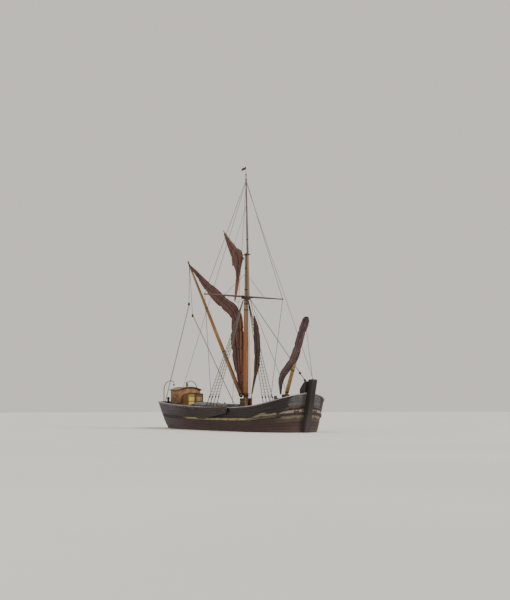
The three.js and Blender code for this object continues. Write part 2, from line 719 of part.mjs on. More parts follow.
// ---- topsail and foresail -----------------------------------------------------------------
function addUpperSails() {
  const tack = vec(MAST_X - 330, 0, 14200);
  const peak = vec(MAST_X - 4050, 0, 17250);
  const turn = new THREE.Quaternion().setFromUnitVectors(UP, peak.clone().sub(tack).normalize());
  const middle = tack.clone().add(peak).multiplyScalar(0.5);
  const stick = new THREE.CylinderGeometry(38, 52, tack.distanceTo(peak), 12);
  const placed = new THREE.Matrix4().compose(middle, turn, vec(1, 1, 1));
  const bundle = gathered([
    [MAST_X - 3750, 16850, 60, 90, 0],
    [MAST_X - 2550, 15650, 200, 510, 0],
    [MAST_X - 1370, 14550, 260, 980, 0],
    [MAST_X - 1080, 13750, 230, 660, 0],
    [MAST_X - 1290, 13000, 130, 260, 0],
    [MAST_X - 1600, 11800, 85, 130, 0],
    [MAST_X - 1720, 10750, 50, 70, 0],
  ]);
  const topsail = largest(solid(bundle).add(solid(stick, placed)));
  piece("topsail", topsail, "tanned_canvas");

  const foresail = gathered([
    [MAST_X + 1040, 9350, 50, 60, 160],
    [MAST_X + 1400, 8300, 180, 320, 160],
    [MAST_X + 1580, 6800, 230, 420, 160],
    [MAST_X + 1480, 5200, 180, 320, 160],
    [MAST_X + 1250, 4150, 110, 160, 160],
    [MAST_X + 860, 2950, 55, 65, 160],
  ]);
  piece("foresail", foresail, "tanned_canvas");
}

// ---- bowsprit and windlass ----------------------------------------------------------------
const BOWSPRIT_Y = -640;
const BOWSPRIT_HEEL = vec(MAST_X + 7200, BOWSPRIT_Y, 2640);
const BOWSPRIT_LENGTH = 6600;
const BOWSPRIT_STEEVE = THREE.MathUtils.degToRad(63); // topped up, above the horizontal
const BOWSPRIT_RADIUS = 125;
const BOWSPRIT_PROFILE = [
  [0, BOWSPRIT_RADIUS - 15],
  [0.05, BOWSPRIT_RADIUS],
  [0.1, 150],
  [0.6, 135],
  [0.96, 90],
  [1, 70],
];

function addBowsprit() {
  const along = vec(Math.cos(BOWSPRIT_STEEVE), 0, Math.sin(BOWSPRIT_STEEVE));
  const aft = vec(-Math.sin(BOWSPRIT_STEEVE), 0, Math.cos(BOWSPRIT_STEEVE));
  const heel = BOWSPRIT_HEEL.clone().addScaledVector(along, -160);
  const tip = heel.clone().addScaledVector(along, BOWSPRIT_LENGTH);
  const mesh = spar("bowsprit", heel, tip, BOWSPRIT_PROFILE, "pale_spar");
  mesh.updateMatrix();

  // The furled jib lies along the after side of the spar. A loose fold hangs aft near the heel.
  const row = (share, off, across, deep, outboard) => {
    const p = heel.clone().addScaledVector(along, share * BOWSPRIT_LENGTH);
    p.addScaledVector(aft, off);
    return [p.x, p.z, across, deep, BOWSPRIT_Y - outboard];
  };
  const rows = [
    row(0.05, 480, 45, 60, 200),
    row(0.12, 640, 80, 130, 240),
    row(0.21, 850, 130, 300, 250),
    row(0.32, 600, 180, 370, 200),
    row(0.46, 330, 200, 330, 110),
    row(0.64, 230, 210, 290, 50),
    row(0.8, 120, 220, 250, 0),
    row(0.91, 80, 260, 290, 10),
    row(0.97, 40, 230, 250, 10),
    row(1.01, 0, 150, 170, 0),
  ];
  const grown = BOWSPRIT_PROFILE.map(
    ([share, r]) => new THREE.Vector2(r + 15, share * (BOWSPRIT_LENGTH + 300)),
  );
  const room = new THREE.LatheGeometry(
    [new THREE.Vector2(0, 0), ...grown, new THREE.Vector2(0, BOWSPRIT_LENGTH + 300)],
    12,
  );
  const jib = solid(gathered(rows)).subtract(solid(room, mesh.matrix));
  piece("jib", largest(jib), "tanned_canvas");

  // Two cheeks on a pad carry the bowsprit's heel.
  const { x, z } = BOWSPRIT_HEEL;
  const inside = BOWSPRIT_RADIUS + RUNNING_GAP;
  const block = boxAt(x - 170, x + 170, BOWSPRIT_Y - inside - 110, BOWSPRIT_Y + inside + 110,
    1400, z + 190);
  const slot = boxAt(x - 400, x + 400, BOWSPRIT_Y - inside, BOWSPRIT_Y + inside, z - 330, z + 400);
  piece("bowsprit_bitts", onDeck(cut(block, slot)), "dark_oak");
}

const WINDLASS_X = MAST_X + 6150;
const WINDLASS_HALF = 820;

function addWindlass() {
  const axleZ = deckAt(WINDLASS_X) + 520;
  let bitts = solid(boxAt(WINDLASS_X - 150, WINDLASS_X + 150, -WINDLASS_HALF, WINDLASS_HALF,
    1300, axleZ - 330));
  for (const y of [-WINDLASS_HALF, WINDLASS_HALF]) {
    const cheek = boxAt(WINDLASS_X - 150, WINDLASS_X + 150, y - 90, y + 90, 1300, axleZ + 420);
    const hole = new THREE.CylinderGeometry(75, 75, 600, 16).translate(WINDLASS_X, y, axleZ);
    bitts = bitts.add(solid(cheek)).subtract(solid(hole));
  }
  piece("windlass_bitts", onDeck(geometryOf(bitts)), "dark_oak");

  const end = WINDLASS_HALF + 150;
  const waist = WINDLASS_HALF - 90 - RUNNING_GAP;
  const profile = [
    [-end, 62],
    [-waist, 62],
    [-waist, 190],
    [-0.35 * waist, 150],
    [-80, 150],
    [-80, 215],
    [80, 215],
    [80, 150],
    [0.35 * waist, 150],
    [waist, 190],
    [waist, 62],
    [end, 62],
  ];
  const points = [
    new THREE.Vector2(0, -end),
    ...profile.map(([y, r]) => new THREE.Vector2(r, y)),
    new THREE.Vector2(0, end),
  ];
  const barrel = piece("windlass_barrel", new THREE.LatheGeometry(points, 12), "dark_oak");
  barrel.position.set(WINDLASS_X, 0, axleZ);
}

// ---- leeboards ----------------------------------------------------------------------------
function addLeeboard(name, side) {
  const shape = new THREE.Shape();
  shape.absarc(0, 0, 250, -Math.PI / 2, Math.PI / 2, false);
  shape.lineTo(-4700, 190);
  shape.quadraticCurveTo(-5250, 150, -5250, -250);
  shape.quadraticCurveTo(-5230, -640, -4800, -700);
  shape.bezierCurveTo(-3600, -740, -2000, -470, 0, -250);
  const board = new THREE.ExtrudeGeometry(shape, {
    depth: LEEBOARD_THICKNESS,
    bevelEnabled: false,
    curveSegments: 8,
  });
  board.rotateX(Math.PI / 2).translate(0, LEEBOARD_THICKNESS / 2, 0);
  const y = side * (LEEBOARD_INNER + LEEBOARD_THICKNESS / 2);
  const hole = new THREE.CylinderGeometry(48, 48, 400, 16);
  const mesh = piece(`leeboard_${name}`, cut(board, hole), "dark_oak");
  mesh.position.set(LEEBOARD_PIVOT_X, y, LEEBOARD_PIVOT_Z);
}

// ---- davits --------------------------------------------------------------------------------
const DAVIT_X = MAST_X - 12400;
const DAVIT_Y = 1700;
const DAVIT_KNEE_Z = 3560;
const DAVIT_REACH = 1000;
const DAVIT_RADIUS = 42;

// An iron arm that stands inside the quarter and curves over the deck.
function addDavit(name, side) {
  const foot = deckAt(DAVIT_X) + JOINT_GAP + 4;
  const path = new THREE.CurvePath();
  const at = (inward, z) => vec(0, -side * inward, z - foot);
  path.add(new THREE.LineCurve3(at(0, foot), at(0, DAVIT_KNEE_Z)));
  path.add(
    new THREE.CubicBezierCurve3(
      at(0, DAVIT_KNEE_Z),
      at(0, DAVIT_KNEE_Z + 720),
      at(DAVIT_REACH * 0.75, DAVIT_KNEE_Z + 1000),
      at(DAVIT_REACH, DAVIT_KNEE_Z + 620),
    ),
  );
  const section = new THREE.Shape().absarc(0, 0, DAVIT_RADIUS, 0, 2 * Math.PI, false);
  const arm = new THREE.ExtrudeGeometry(section, {
    steps: 24,
    curveSegments: 5,
    extrudePath: path,
  });
  const mesh = piece(`davit_${name}`, geometryOf(solid(arm)), "rusty_iron");
  mesh.position.set(DAVIT_X, side * DAVIT_Y, foot);
}

// ---- horse and standing rigging -----------------------------------------------------------
function addHorse() {
  const x = MAST_X - 7900;
  const z = deckAt(x) + 330;
  const beam = new THREE.CylinderGeometry(85, 85, 4600, 12).translate(x, 0, z);
  const post = (y) => boxAt(x - 110, x + 110, y - 60, y + 60, 1300, z);
  const horse = solid(beam).add(solid(post(-1900))).add(solid(post(1900)));
  piece("main_horse", onDeck(geometryOf(horse)), "dark_oak");
}

const SHROUD_RADIUS = 22;
const SHROUDS = [["fore", 0], ["aft", -1800]]; // x of the feet, from the mast

function addRigging() {
  for (const [name, side] of [["starboard", -1], ["port", 1]]) {
    for (const [place, x] of SHROUDS) {
      const foot = vec(MAST_X + x, side * (HALF_BEAM - 60), railTop(MAST_X + x) + 30);
      const head = vec(MAST_X + x * 0.05 - 20, side * 262, HOUNDS_Z - 260);
      stay(`shroud_${place}_${name}`, foot, head, SHROUD_RADIUS);
    }
  }
  const apron = vec(STEM_HEAD_X - 1150, 0, STEM_HEAD_Z - 250);
  stay("forestay", apron, vec(MAST_X + 640, 0, HOUNDS_Z - 230), 26);
}

addHull();
addSide("starboard", -1);
addSide("port", 1);
addEnds();
addKnighthead("starboard", -1);
addKnighthead("port", 1);
addRudder();
addWheel();
addHatch("main_hatch", MAST_X - 7400, MAST_X - 1500, 1300, 130);
addHatch("fore_hatch", MAST_X + 2300, MAST_X + 4100, 850, 80);
addCabin();
addDoor("starboard", -1);
addDoor("port", 1);
addMast();
addSprit();
addUpperSails();
addBowsprit();
addWindlass();
addLeeboard("starboard", -1);
addLeeboard("port", 1);
addDavit("starboard", -1);
addDavit("port", 1);
addHorse();
addRigging();

export default barge;
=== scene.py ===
import math
import random

import bmesh
import bpy
from mathutils import Matrix, Quaternion, Vector, noise


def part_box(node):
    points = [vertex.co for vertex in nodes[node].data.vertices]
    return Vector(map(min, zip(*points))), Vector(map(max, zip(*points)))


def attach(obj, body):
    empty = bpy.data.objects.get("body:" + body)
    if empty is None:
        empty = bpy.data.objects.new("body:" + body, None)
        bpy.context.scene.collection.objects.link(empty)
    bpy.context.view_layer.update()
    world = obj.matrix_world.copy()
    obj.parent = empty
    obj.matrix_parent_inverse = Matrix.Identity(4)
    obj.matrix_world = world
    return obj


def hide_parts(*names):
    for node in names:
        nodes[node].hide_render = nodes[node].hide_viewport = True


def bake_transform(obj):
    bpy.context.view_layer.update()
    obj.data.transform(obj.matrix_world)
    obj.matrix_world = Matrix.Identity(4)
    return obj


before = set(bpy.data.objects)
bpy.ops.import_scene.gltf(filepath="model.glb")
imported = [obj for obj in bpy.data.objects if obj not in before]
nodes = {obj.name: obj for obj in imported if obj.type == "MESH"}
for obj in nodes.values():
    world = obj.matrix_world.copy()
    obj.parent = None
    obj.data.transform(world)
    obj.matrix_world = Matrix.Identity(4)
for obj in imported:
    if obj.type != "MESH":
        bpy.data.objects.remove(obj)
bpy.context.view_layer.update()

SIDES = (("starboard", -1), ("port", 1))


def between_values(a, b, share):
    return a + (b - a) * share


# ---- her lines, in metres ------------------------------------------------------------------
STERN, BOW = -11.6, 11.15  # the ends of the planking at the rail
PARALLEL_AFT, PARALLEL_FORE = -4.5, 5.5  # the sides run straight between these
SHEER_LOW = 1.55
HALF_BEAM, HALF_BOTTOM = 2.8, 2.6
STEM_HALF = 0.2
RAIL_THICK = 0.08
BULWARK = 0.45  # deck to the top of the rail
BULWARK_THICK = 0.08
STRAKES = 11  # planks a side, from the chine to the rail


def rail_height(x):
    ahead = (x - SHEER_LOW) / (BOW - SHEER_LOW)
    if ahead > 0:
        return 1.9 + 1.0 * ahead**4.5
    return 1.9 + 0.56 * ((SHEER_LOW - x) / (SHEER_LOW - STERN)) ** 1.5


def station(k):
    """Rail x and y, and chine x and y. k goes 0 to 1 up to the bow's turn, and 2 is the stem."""
    if k <= 1:
        x = between_values(STERN, PARALLEL_FORE, k)
        run = max(0, (PARALLEL_AFT - x) / (PARALLEL_AFT - STERN))
        foot = between_values(STERN + 0.8, PARALLEL_FORE, k)
        return x, HALF_BEAM - run**2, foot, HALF_BOTTOM - 1.5 * run**2
    turn = math.sin(math.pi / 2 * (k - 1))

    def bluff(half, fullness):
        return max(STEM_HALF, half * math.sqrt(max(0, 1 - turn**fullness)))

    rail = between_values(PARALLEL_FORE, BOW, turn)
    foot = between_values(PARALLEL_FORE, BOW - 0.63, turn)
    return rail, bluff(HALF_BEAM, 3.7), foot, bluff(HALF_BOTTOM, 2.8)


def outward(k, side):
    """Square to the planking, in plan."""
    if k <= 0.001:
        return Vector((0, side, 0))
    if k >= 1.999:
        return Vector((1, 0, 0))
    a, b = station(k - 0.01), station(min(2, k + 0.01))
    return Vector((a[1] - b[1], side * (b[0] - a[0]), 0)).normalized()


def planking_at(k, z, side, out=0.0):
    """A point on the planking at height z, moved out by a little."""
    rail_x, rail_y, foot_x, foot_y = station(k)
    share = z / rail_height(rail_x)
    y = between_values(foot_y, rail_y, max(0, share) ** 0.75)
    point = Vector((between_values(foot_x, rail_x, share), side * y, z))
    return point + outward(k, side) * out


def k_of(x):
    """The station whose rail is at x."""
    low, high = 0.0, 2.0
    for _ in range(30):
        middle = (low + high) / 2
        if station(middle)[0] < x:
            low = middle
        else:
            high = middle
    return (low + high) / 2


def deck_height(x):
    return rail_height(x) - BULWARK


def frames(side_steps=46, bow_steps=52):
    """Stations from transom to stem, each with the length of rail behind it."""
    ks = [i / side_steps for i in range(side_steps)]
    ks += [1 + i / bow_steps for i in range(bow_steps + 1)]
    made, run, last = [], 0.0, None
    for k in ks:
        here = Vector(station(k)[:2])
        run += (here - last).length if last else 0
        made.append((k, run))
        last = here
    return made


FRAMES = frames()


# ---- making shapes -------------------------------------------------------------------------
class Shape:
    """Points and faces, with the place of each corner along and across the grain."""

    def __init__(self):
        self.points, self.faces, self.grain, self.folds = [], [], [], []

    def add(self, points, faces, grain, folds=()):
        first = len(self.points)
        self.points += [Vector(p) for p in points]
        self.faces += [[first + i for i in face] for face in faces]
        self.grain += grain
        self.folds += folds
        return self

    def join(self, *others):
        for other in others:
            self.add(other.points, other.faces, other.grain, other.folds)
        return self


def joined(shapes):
    return Shape().join(*shapes)


def skin_over(rows, closed=False, capped=False, grain=None, folds=()):
    """A skin over rows of points, with the grain from row to row."""
    count = len(rows[0])
    middles = [sum(row, Vector()) / count for row in rows]
    along = [0.0]
    for a, b in zip(middles, middles[1:]):
        along.append(along[-1] + (b - a).length)
    across = []
    for row in rows:
        steps = [0.0]
        for j in range(count):
            steps.append(steps[-1] + (row[(j + 1) % count] - row[j]).length)
        across.append(steps)
    place = grain or (lambda i, j: (along[i], across[i][j]))
    faces, marks = [], []
    for i in range(len(rows) - 1):
        for j in range(count if closed else count - 1):
            k = (j + 1) % count
            a, b = i * count, (i + 1) * count
            faces.append((a + j, a + k, b + k, b + j))
            marks += [place(i, j), place(i, j + 1), place(i + 1, j + 1), place(i + 1, j)]
    if capped:
        for i in (0, len(rows) - 1):
            centre = middles[i]
            faces.append([i * count + j for j in range(count)])
            marks += [((p - centre).x + (p - centre).y, (p - centre).z) for p in rows[i]]
    return Shape().add([p for row in rows for p in row], faces, marks, list(folds))


def turned(profile, start, end, sides=20):
    """A piece turned about the line from start towards end. It lists (distance, radius)."""
    start, end = Vector(start), Vector(end)
    axis = (end - start).normalized()
    turn = axis.to_track_quat("Z", "Y")
    rows = []
    for distance, radius in profile:
        centre = start + axis * distance
        rows.append(
            [
                centre + turn @ Vector((math.cos(a) * radius, math.sin(a) * radius, 0))
                for a in (2 * math.pi * j / sides for j in range(sides))
            ]
        )
    return skin_over(rows, closed=True, capped=True)


def run_along(points, radius, sides=6, closed=False):
    """Rope, wire or bar through the points."""
    points = [Vector(p) for p in points]
    last = len(points) - 1
    rows, normal = [], None
    for i, p in enumerate(points):
        before = points[i - 1] if i or closed else p
        after = points[(i + 1) % (last + 1)] if i < last or closed else p
        along = (after - before).normalized()
        if normal is None:
            normal = along.orthogonal().normalized()
        normal = (normal - along * normal.dot(along)).normalized()
        other = along.cross(normal)
        size = radius(i / last) if callable(radius) else radius
        rows.append(
            [
                p + (normal * math.cos(a) + other * math.sin(a)) * size
                for a in (2 * math.pi * j / sides for j in range(sides))
            ]
        )
    if closed:
        rows.append(list(rows[0]))
    return skin_over(rows, closed=True, capped=not closed)


def hoop(centre, axis, radius, thick, sides=6, steps=28, squash=1.0):
    """A round ring of bar or rope about an axis."""
    turn = Vector(axis).to_track_quat("Z", "Y")
    points = []
    for i in range(steps):
        a = 2 * math.pi * i / steps
        flat = Vector((math.cos(a) * radius, math.sin(a) * radius * squash, 0))
        points.append(Vector(centre) + turn @ flat)
    return run_along(points, thick, sides, closed=True)


def band(centre, axis, radius, width, thick, sides=24):
    """An iron hoop driven on a round spar."""
    axis = Vector(axis).normalized()
    start = Vector(centre) - axis * width / 2
    edge = min(thick, width) * 0.3
    profile = [
        (0, radius),
        (0, radius + thick - edge),
        (edge, radius + thick),
        (width - edge, radius + thick),
        (width, radius + thick - edge),
        (width, radius),
    ]
    return turned(profile, start, start + axis, sides)


BOX_FACES = (
    (0, (0, 1, 3, 2)),
    (0, (4, 6, 7, 5)),
    (1, (0, 4, 5, 1)),
    (1, (2, 3, 7, 6)),
    (2, (0, 2, 6, 4)),
    (2, (1, 5, 7, 3)),
)


def board(size, at=(0, 0, 0), turn=None):
    """A squared timber or a flat bar, with its grain along its longest side."""
    half = Vector(size) / 2
    corners = [
        Vector((half.x * a, half.y * b, half.z * c))
        for a in (-1, 1)
        for b in (-1, 1)
        for c in (-1, 1)
    ]
    longest = max(range(3), key=lambda k: size[k])
    faces, marks = [], []
    for normal, face in BOX_FACES:
        rest = [k for k in range(3) if k != normal]
        if longest in rest:
            rest.sort(key=lambda k: k != longest)
        faces.append(face)
        marks += [(corners[i][rest[0]] + at[0], corners[i][rest[1]] + at[1]) for i in face]
    matrix = Matrix.Translation(Vector(at)) @ (turn or Matrix()).to_4x4()
    return Shape().add([matrix @ c for c in corners], faces, marks)


def strip(points, width, thick, up=(0, 0, 1)):
    """A flat bar bent along points, with its width along `up`."""
    points = [Vector(p) for p in points]
    rows = []
    for i, p in enumerate(points):
        along = (points[min(i + 1, len(points) - 1)] - points[max(i - 1, 0)]).normalized()
        wide = Vector(up) - along * along.dot(Vector(up))
        wide.normalize()
        deep = along.cross(wide)
        ring = ((-1, -1), (1, -1), (1, 1), (-1, 1))
        rows.append([p + wide * a * width / 2 + deep * b * thick / 2 for a, b in ring])
    return skin_over(rows, closed=True, capped=True)


def pulley(at, length=0.26, along=(0, 0, 1)):
    """A wooden block: an egg-shaped shell with a groove for its rope strop."""
    profile = []
    for i in range(13):
        a = math.pi * i / 12
        groove = 0.9 if i == 6 else 1.0
        profile.append((length / 2 * (1 - math.cos(a)),
                        0.01 + length * 0.33 * math.sin(a) * groove))
    start = Vector(at) - Vector(along).normalized() * length / 2
    return turned(profile, start, start + Vector(along), 12)


# ---- finishes ------------------------------------------------------------------------------
def srgb(code):
    """A hex colour as the linear values that a shader takes."""
    parts = [int(code[i : i + 2], 16) / 255 for i in (1, 3, 5)]
    return [c / 12.92 if c <= 0.04045 else ((c + 0.055) / 1.055) ** 2.4 for c in parts] + [1]


def add(tree, kind, inputs=None, **settings):
    """A node with its settings, its values and its links."""
    node = tree.nodes.new("ShaderNode" + kind)
    for key, value in settings.items():
        setattr(node, key, value)
    for key, value in (inputs or {}).items():
        if isinstance(value, bpy.types.NodeSocket):
            tree.links.new(value, node.inputs[key])
        else:
            node.inputs[key].default_value = value
    return node


def started(name):
    material = bpy.data.materials.new(name)
    material.use_nodes = True
    material.node_tree.nodes.clear()
    return material, material.node_tree


def place_on(tree, run):
    """Metres along, across and through the grain: from the piece's own marks, or by an axis."""
    if run == "grain":
        return add(tree, "UVMap", uv_map="grain").outputs[0]
    at = add(tree, "SeparateXYZ", {0: add(tree, "TexCoord").outputs["Object"]})
    order = {"x": "XYZ", "y": "YXZ", "z": "ZXY"}[run]
    return add(tree, "CombineXYZ",
               {i: at.outputs[axis] for i, axis in enumerate(order)}).outputs[0]


def stretched(tree, place, by):
    return add(tree, "VectorMath", {0: place, 1: by}, operation="MULTIPLY").outputs[0]


def blotches(tree, place, by, detail=4.0, low=0.35, high=0.65):
    """Uneven patches, from 0 to 1; `by` is how many a metre there are each way."""
    vector = stretched(tree, place, by)
    field = add(tree, "TexNoise", {"Vector": vector, "Scale": 1.0, "Detail": detail})
    return add(tree, "MapRange", {0: field.outputs[0], 1: low, 2: high}).outputs[0]


def between(tree, value, low, high, soft):
    """1 where a value lies from low to high, fading over soft at both ends."""
    rise = add(
        tree, "MapRange", {0: value, 1: low - soft, 2: low + soft}, interpolation_type="SMOOTHSTEP"
    )
    fall = add(
        tree,
        "MapRange",
        {0: value, 1: high - soft, 2: high + soft, 3: 1.0, 4: 0.0},
        interpolation_type="SMOOTHSTEP",
    )
    return times(tree, rise.outputs[0], fall.outputs[0])


def times(tree, *values):
    result = values[0]
    for value in values[1:]:
        result = add(tree, "Math", {0: result, 1: value}, operation="MULTIPLY").outputs[0]
    return result


def plus(tree, *values):
    result = values[0]
    for value in values[1:]:
        result = add(tree, "Math", {0: result, 1: value}, operation="ADD").outputs[0]
    return result


def coats(tree, under, *layers):
    """Lays each colour over the ones before it, as thickly as its mask says."""
    for mask, colour in layers:
        over = srgb(colour) if isinstance(colour, str) else colour
        under = add(tree, "Mix", {0: mask, 6: under, 7: over}, data_type="RGBA").outputs[2]
    return under


def worn_edges(tree, radius):
    """1 on the corners of a squared piece, where hands and ropes rub it."""
    eased = add(tree, "Bevel", {0: radius}, samples=4).outputs[0]
    true = add(tree, "NewGeometry").outputs["Normal"]
    same = add(tree, "VectorMath", {0: eased, 1: true}, operation="DOT_PRODUCT").outputs["Value"]
    return add(tree, "MapRange", {0: same, 1: 0.995, 2: 0.9, 3: 0.0, 4: 1.0}).outputs[0]


def finished(tree, colour, rough, height=None, relief=0.0, sockets=None):
    """The shader that ends a material. relief is the depth of its texture in metres."""
    shader = add(tree, "BsdfPrincipled", {"Base Color": colour, "Roughness": rough})
    for key, value in (sockets or {}).items():
        shader.inputs[key].default_value = value
    if height is not None:
        bump = add(tree, "Bump", {"Height": height, "Distance": relief, "Strength": 1.0})
        tree.links.new(bump.outputs[0], shader.inputs["Normal"])
    add(tree, "OutputMaterial", {0: shader.outputs[0]})


def timber(name, run, dark, middle, light, boards=None, seam="#17120f", rough=(0.6, 0.85),
           coat=0.0, edge=0.0, edge_colour=None, more=None):
    """Sawn wood: streaked grain, board to board changes, dark seams and rubbed corners.
    Its real grain is 2 to 5 mm wide, too fine to show, so it is drawn 40 to 80 mm wide."""
    material, tree = started(name)
    place = place_on(tree, run)
    grain = blotches(tree, place, (0.55, 15, 15), 7.0, 0.3, 0.7)
    broad = blotches(tree, place, (0.5, 2.2, 2.2), 3.0, 0.3, 0.75)
    colour = coats(tree, srgb(middle), (times(tree, grain, 0.75), dark),
                   (times(tree, broad, 0.6), light))
    height = times(tree, grain, 0.35)
    if boards:
        length, width = boards
        joints = add(
            tree,
            "TexBrick",
            {
                "Vector": place,
                "Color1": (0, 0, 0, 1),
                "Color2": (1, 1, 1, 1),
                "Mortar": (0.5, 0.5, 0.5, 1),
                "Scale": 1.0,
                "Mortar Size": 0.009,
                "Mortar Smooth": 0.2,
                "Brick Width": length,
                "Row Height": width,
            },
            offset=0.37,
        )
        colour = coats(
            tree, colour, (times(tree, joints.outputs[0], 0.3), light), (joints.outputs[1], seam)
        )
        gap = add(tree, "Math", {0: 1.0, 1: joints.outputs[1]}, operation="SUBTRACT").outputs[0]
        height = plus(tree, height, gap)
    if more:
        colour = more(tree, place, colour)
    if edge:
        colour = coats(tree, colour, (times(tree, worn_edges(tree, edge), 0.7),
                                      edge_colour or light))
    dullness = add(tree, "MapRange", {0: grain, 3: rough[0], 4: rough[1]}).outputs[0]
    finished(tree, colour, dullness, height, 0.006, {"Coat Weight": coat, "Coat Roughness": 0.35})
    return material


def stain(by, colour, low=0.45, high=0.7, strength=1.0):
    """More weather on a timber: patches of another colour."""

    def lay(tree, place, under):
        mask = blotches(tree, place, by, 5.0, low, high)
        return coats(tree, under, (times(tree, mask, strength), colour))

    return lay


def painted_topsides():
    """Pitch pine planks, caulked, tarred and painted: nearly black to forward, worn to a purple
    grey on the quarter, dusty near the ground. Along her grain marks, the first number is metres
    from the transom and the second counts planks up from the chine."""
    material, tree = started("tarred_pine_topsides")
    place = place_on(tree, "grain")
    at = add(tree, "SeparateXYZ", {0: place})
    run, plank = at.outputs[0], at.outputs[1]
    ragged = blotches(tree, place, (1.6, 0.9, 1), 6.0, 0.0, 1.0)
    up = plus(tree, plank, times(tree, ragged, 1.6), -0.8)
    ahead = plus(tree, run, times(tree, ragged, 1.4), -0.7)
    grain = blotches(tree, place, (0.8, 5.0, 1), 7.0, 0.3, 0.7)
    streaks = blotches(tree, place, (3.6, 0.42, 1), 6.0, 0.45, 0.75)
    joints = add(
        tree,
        "TexBrick",
        {
            "Vector": place,
            "Color1": (0, 0, 0, 1),
            "Color2": (1, 1, 1, 1),
            "Mortar": (0.5, 0.5, 0.5, 1),
            "Scale": 1.0,
            "Mortar Size": 0.022,
            "Mortar Smooth": 0.3,
            "Brick Width": 5.4,
            "Row Height": 1.0,
        },
        offset=0.41,
    )
    below = between(tree, up, -30.0, 4.9, 0.35)
    quarter = between(tree, ahead, -5.0, 6.6, 2.6)
    foot = between(tree, up, -2.0, 1.4, 1.2)
    # Painted highlight: a pale band over the top plank on the after part stands for the lit top of the
    # rail, drawn wider than the rail itself.
    rail_top_highlight = times(tree, between(tree, up, 10.25, 12.0, 0.25),
                     between(tree, ahead, -2.0, 16.5, 3.0))
    rise = add(tree, "MapRange", {0: ahead, 1: 18.2, 2: 20.2, 3: -4.7, 4: -6.9}).outputs[0]
    fall = add(tree, "MapRange", {0: ahead, 1: 20.7, 2: 22.4, 3: 0.0, 4: 1.6}).outputs[0]
    torn = times(tree, between(tree, plus(tree, up, rise, fall), -0.5, 0.5, 0.25),
                 between(tree, ahead, 18.8, 22.2, 0.3))
    # Painted highlight: the slate patch high on the bow and the pinkish patch by the hawse stand for the
    # bluff bow turned towards the light.
    raked = plus(tree, ahead, times(tree, up, -0.1))
    bow_highlight_slate = times(tree, between(tree, raked, 21.95, 30.0, 0.12),
                  between(tree, up, 7.35, 12.0, 0.15))
    bow_highlight_pink = times(tree, between(tree, ahead, 22.25, 24.0, 0.2), between(tree, up, 4.5, 6.7, 0.3))
    olive = times(tree, between(tree, ahead, 21.5, 30.0, 1.0), between(tree, up, 3.4, 4.9, 0.4))
    colour = coats(
        tree,
        srgb("#140d0e"),
        (times(tree, joints.outputs[0], 0.35), "#23191c"),
        (times(tree, grain, 0.3), "#2f2223"),
        (times(tree, below, 0.9), "#2e1b1b"),
        (times(tree, below, streaks, 0.5), "#4a2c34"),
        (times(tree, below, grain, 0.3), "#553a30"),
        (times(tree, quarter, 0.6), "#463a48"),
        (times(tree, quarter, streaks, 0.25), "#6c5f5c"),
        (times(tree, rail_top_highlight, streaks, 0.35), "#8d8088"),
        (times(tree, foot, 0.5), "#54413c"),
        (times(tree, bow_highlight_slate, 0.9), "#4b484a"),
        (times(tree, bow_highlight_slate, streaks, 0.4), "#736c6e"),
        (times(tree, bow_highlight_pink, 0.75), "#9c8a7c"),
        (times(tree, bow_highlight_pink, streaks, 0.5), "#6d5a5c"),
        (times(tree, olive, 0.4), "#4c4a30"),
        (times(tree, torn, 0.6), "#9c8e6e"),
        (times(tree, torn, streaks, 0.5), "#5e5044"),
        (times(tree, joints.outputs[1], 0.8), "#0c0909"),
    )
    dull = add(tree, "MapRange", {0: grain, 3: 0.55, 4: 0.8}).outputs[0]
    finished(tree, colour, dull, plus(tree, grain, times(tree, joints.outputs[1], -1.5)), 0.004)
    return material


def chipped_ochre():
    """An oak rubbing strake in ochre paint that has mostly gone: bright along the waist, bare and
    splintered under the bow, tarred over elsewhere."""
    material, tree = started("chipped_ochre_wale")
    place = place_on(tree, "grain")
    run = add(tree, "SeparateXYZ", {0: place}).outputs[0]
    grain = blotches(tree, place, (0.9, 22, 1), 7.0, 0.3, 0.7)
    chips = blotches(tree, place, (3.0, 9.0, 1), 6.0, 0.42, 0.56)
    waist = between(tree, run, 7.9, 18.9, 0.9)
    torn = between(tree, run, 18.8, 21.8, 0.4)
    colour = coats(
        tree,
        srgb("#1e1718"),
        (times(tree, grain, 0.5), "#3d302e"),
        (times(tree, waist, 0.6), "#7d6e4c"),
        (times(tree, waist, chips, 0.85), "#a3936a"),
        (times(tree, torn, grain, 0.5), "#857660"),
    )
    dull = add(tree, "MapRange", {0: chips, 3: 0.7, 4: 0.9}).outputs[0]
    finished(tree, colour, dull, plus(tree, grain, chips), 0.006)
    return material


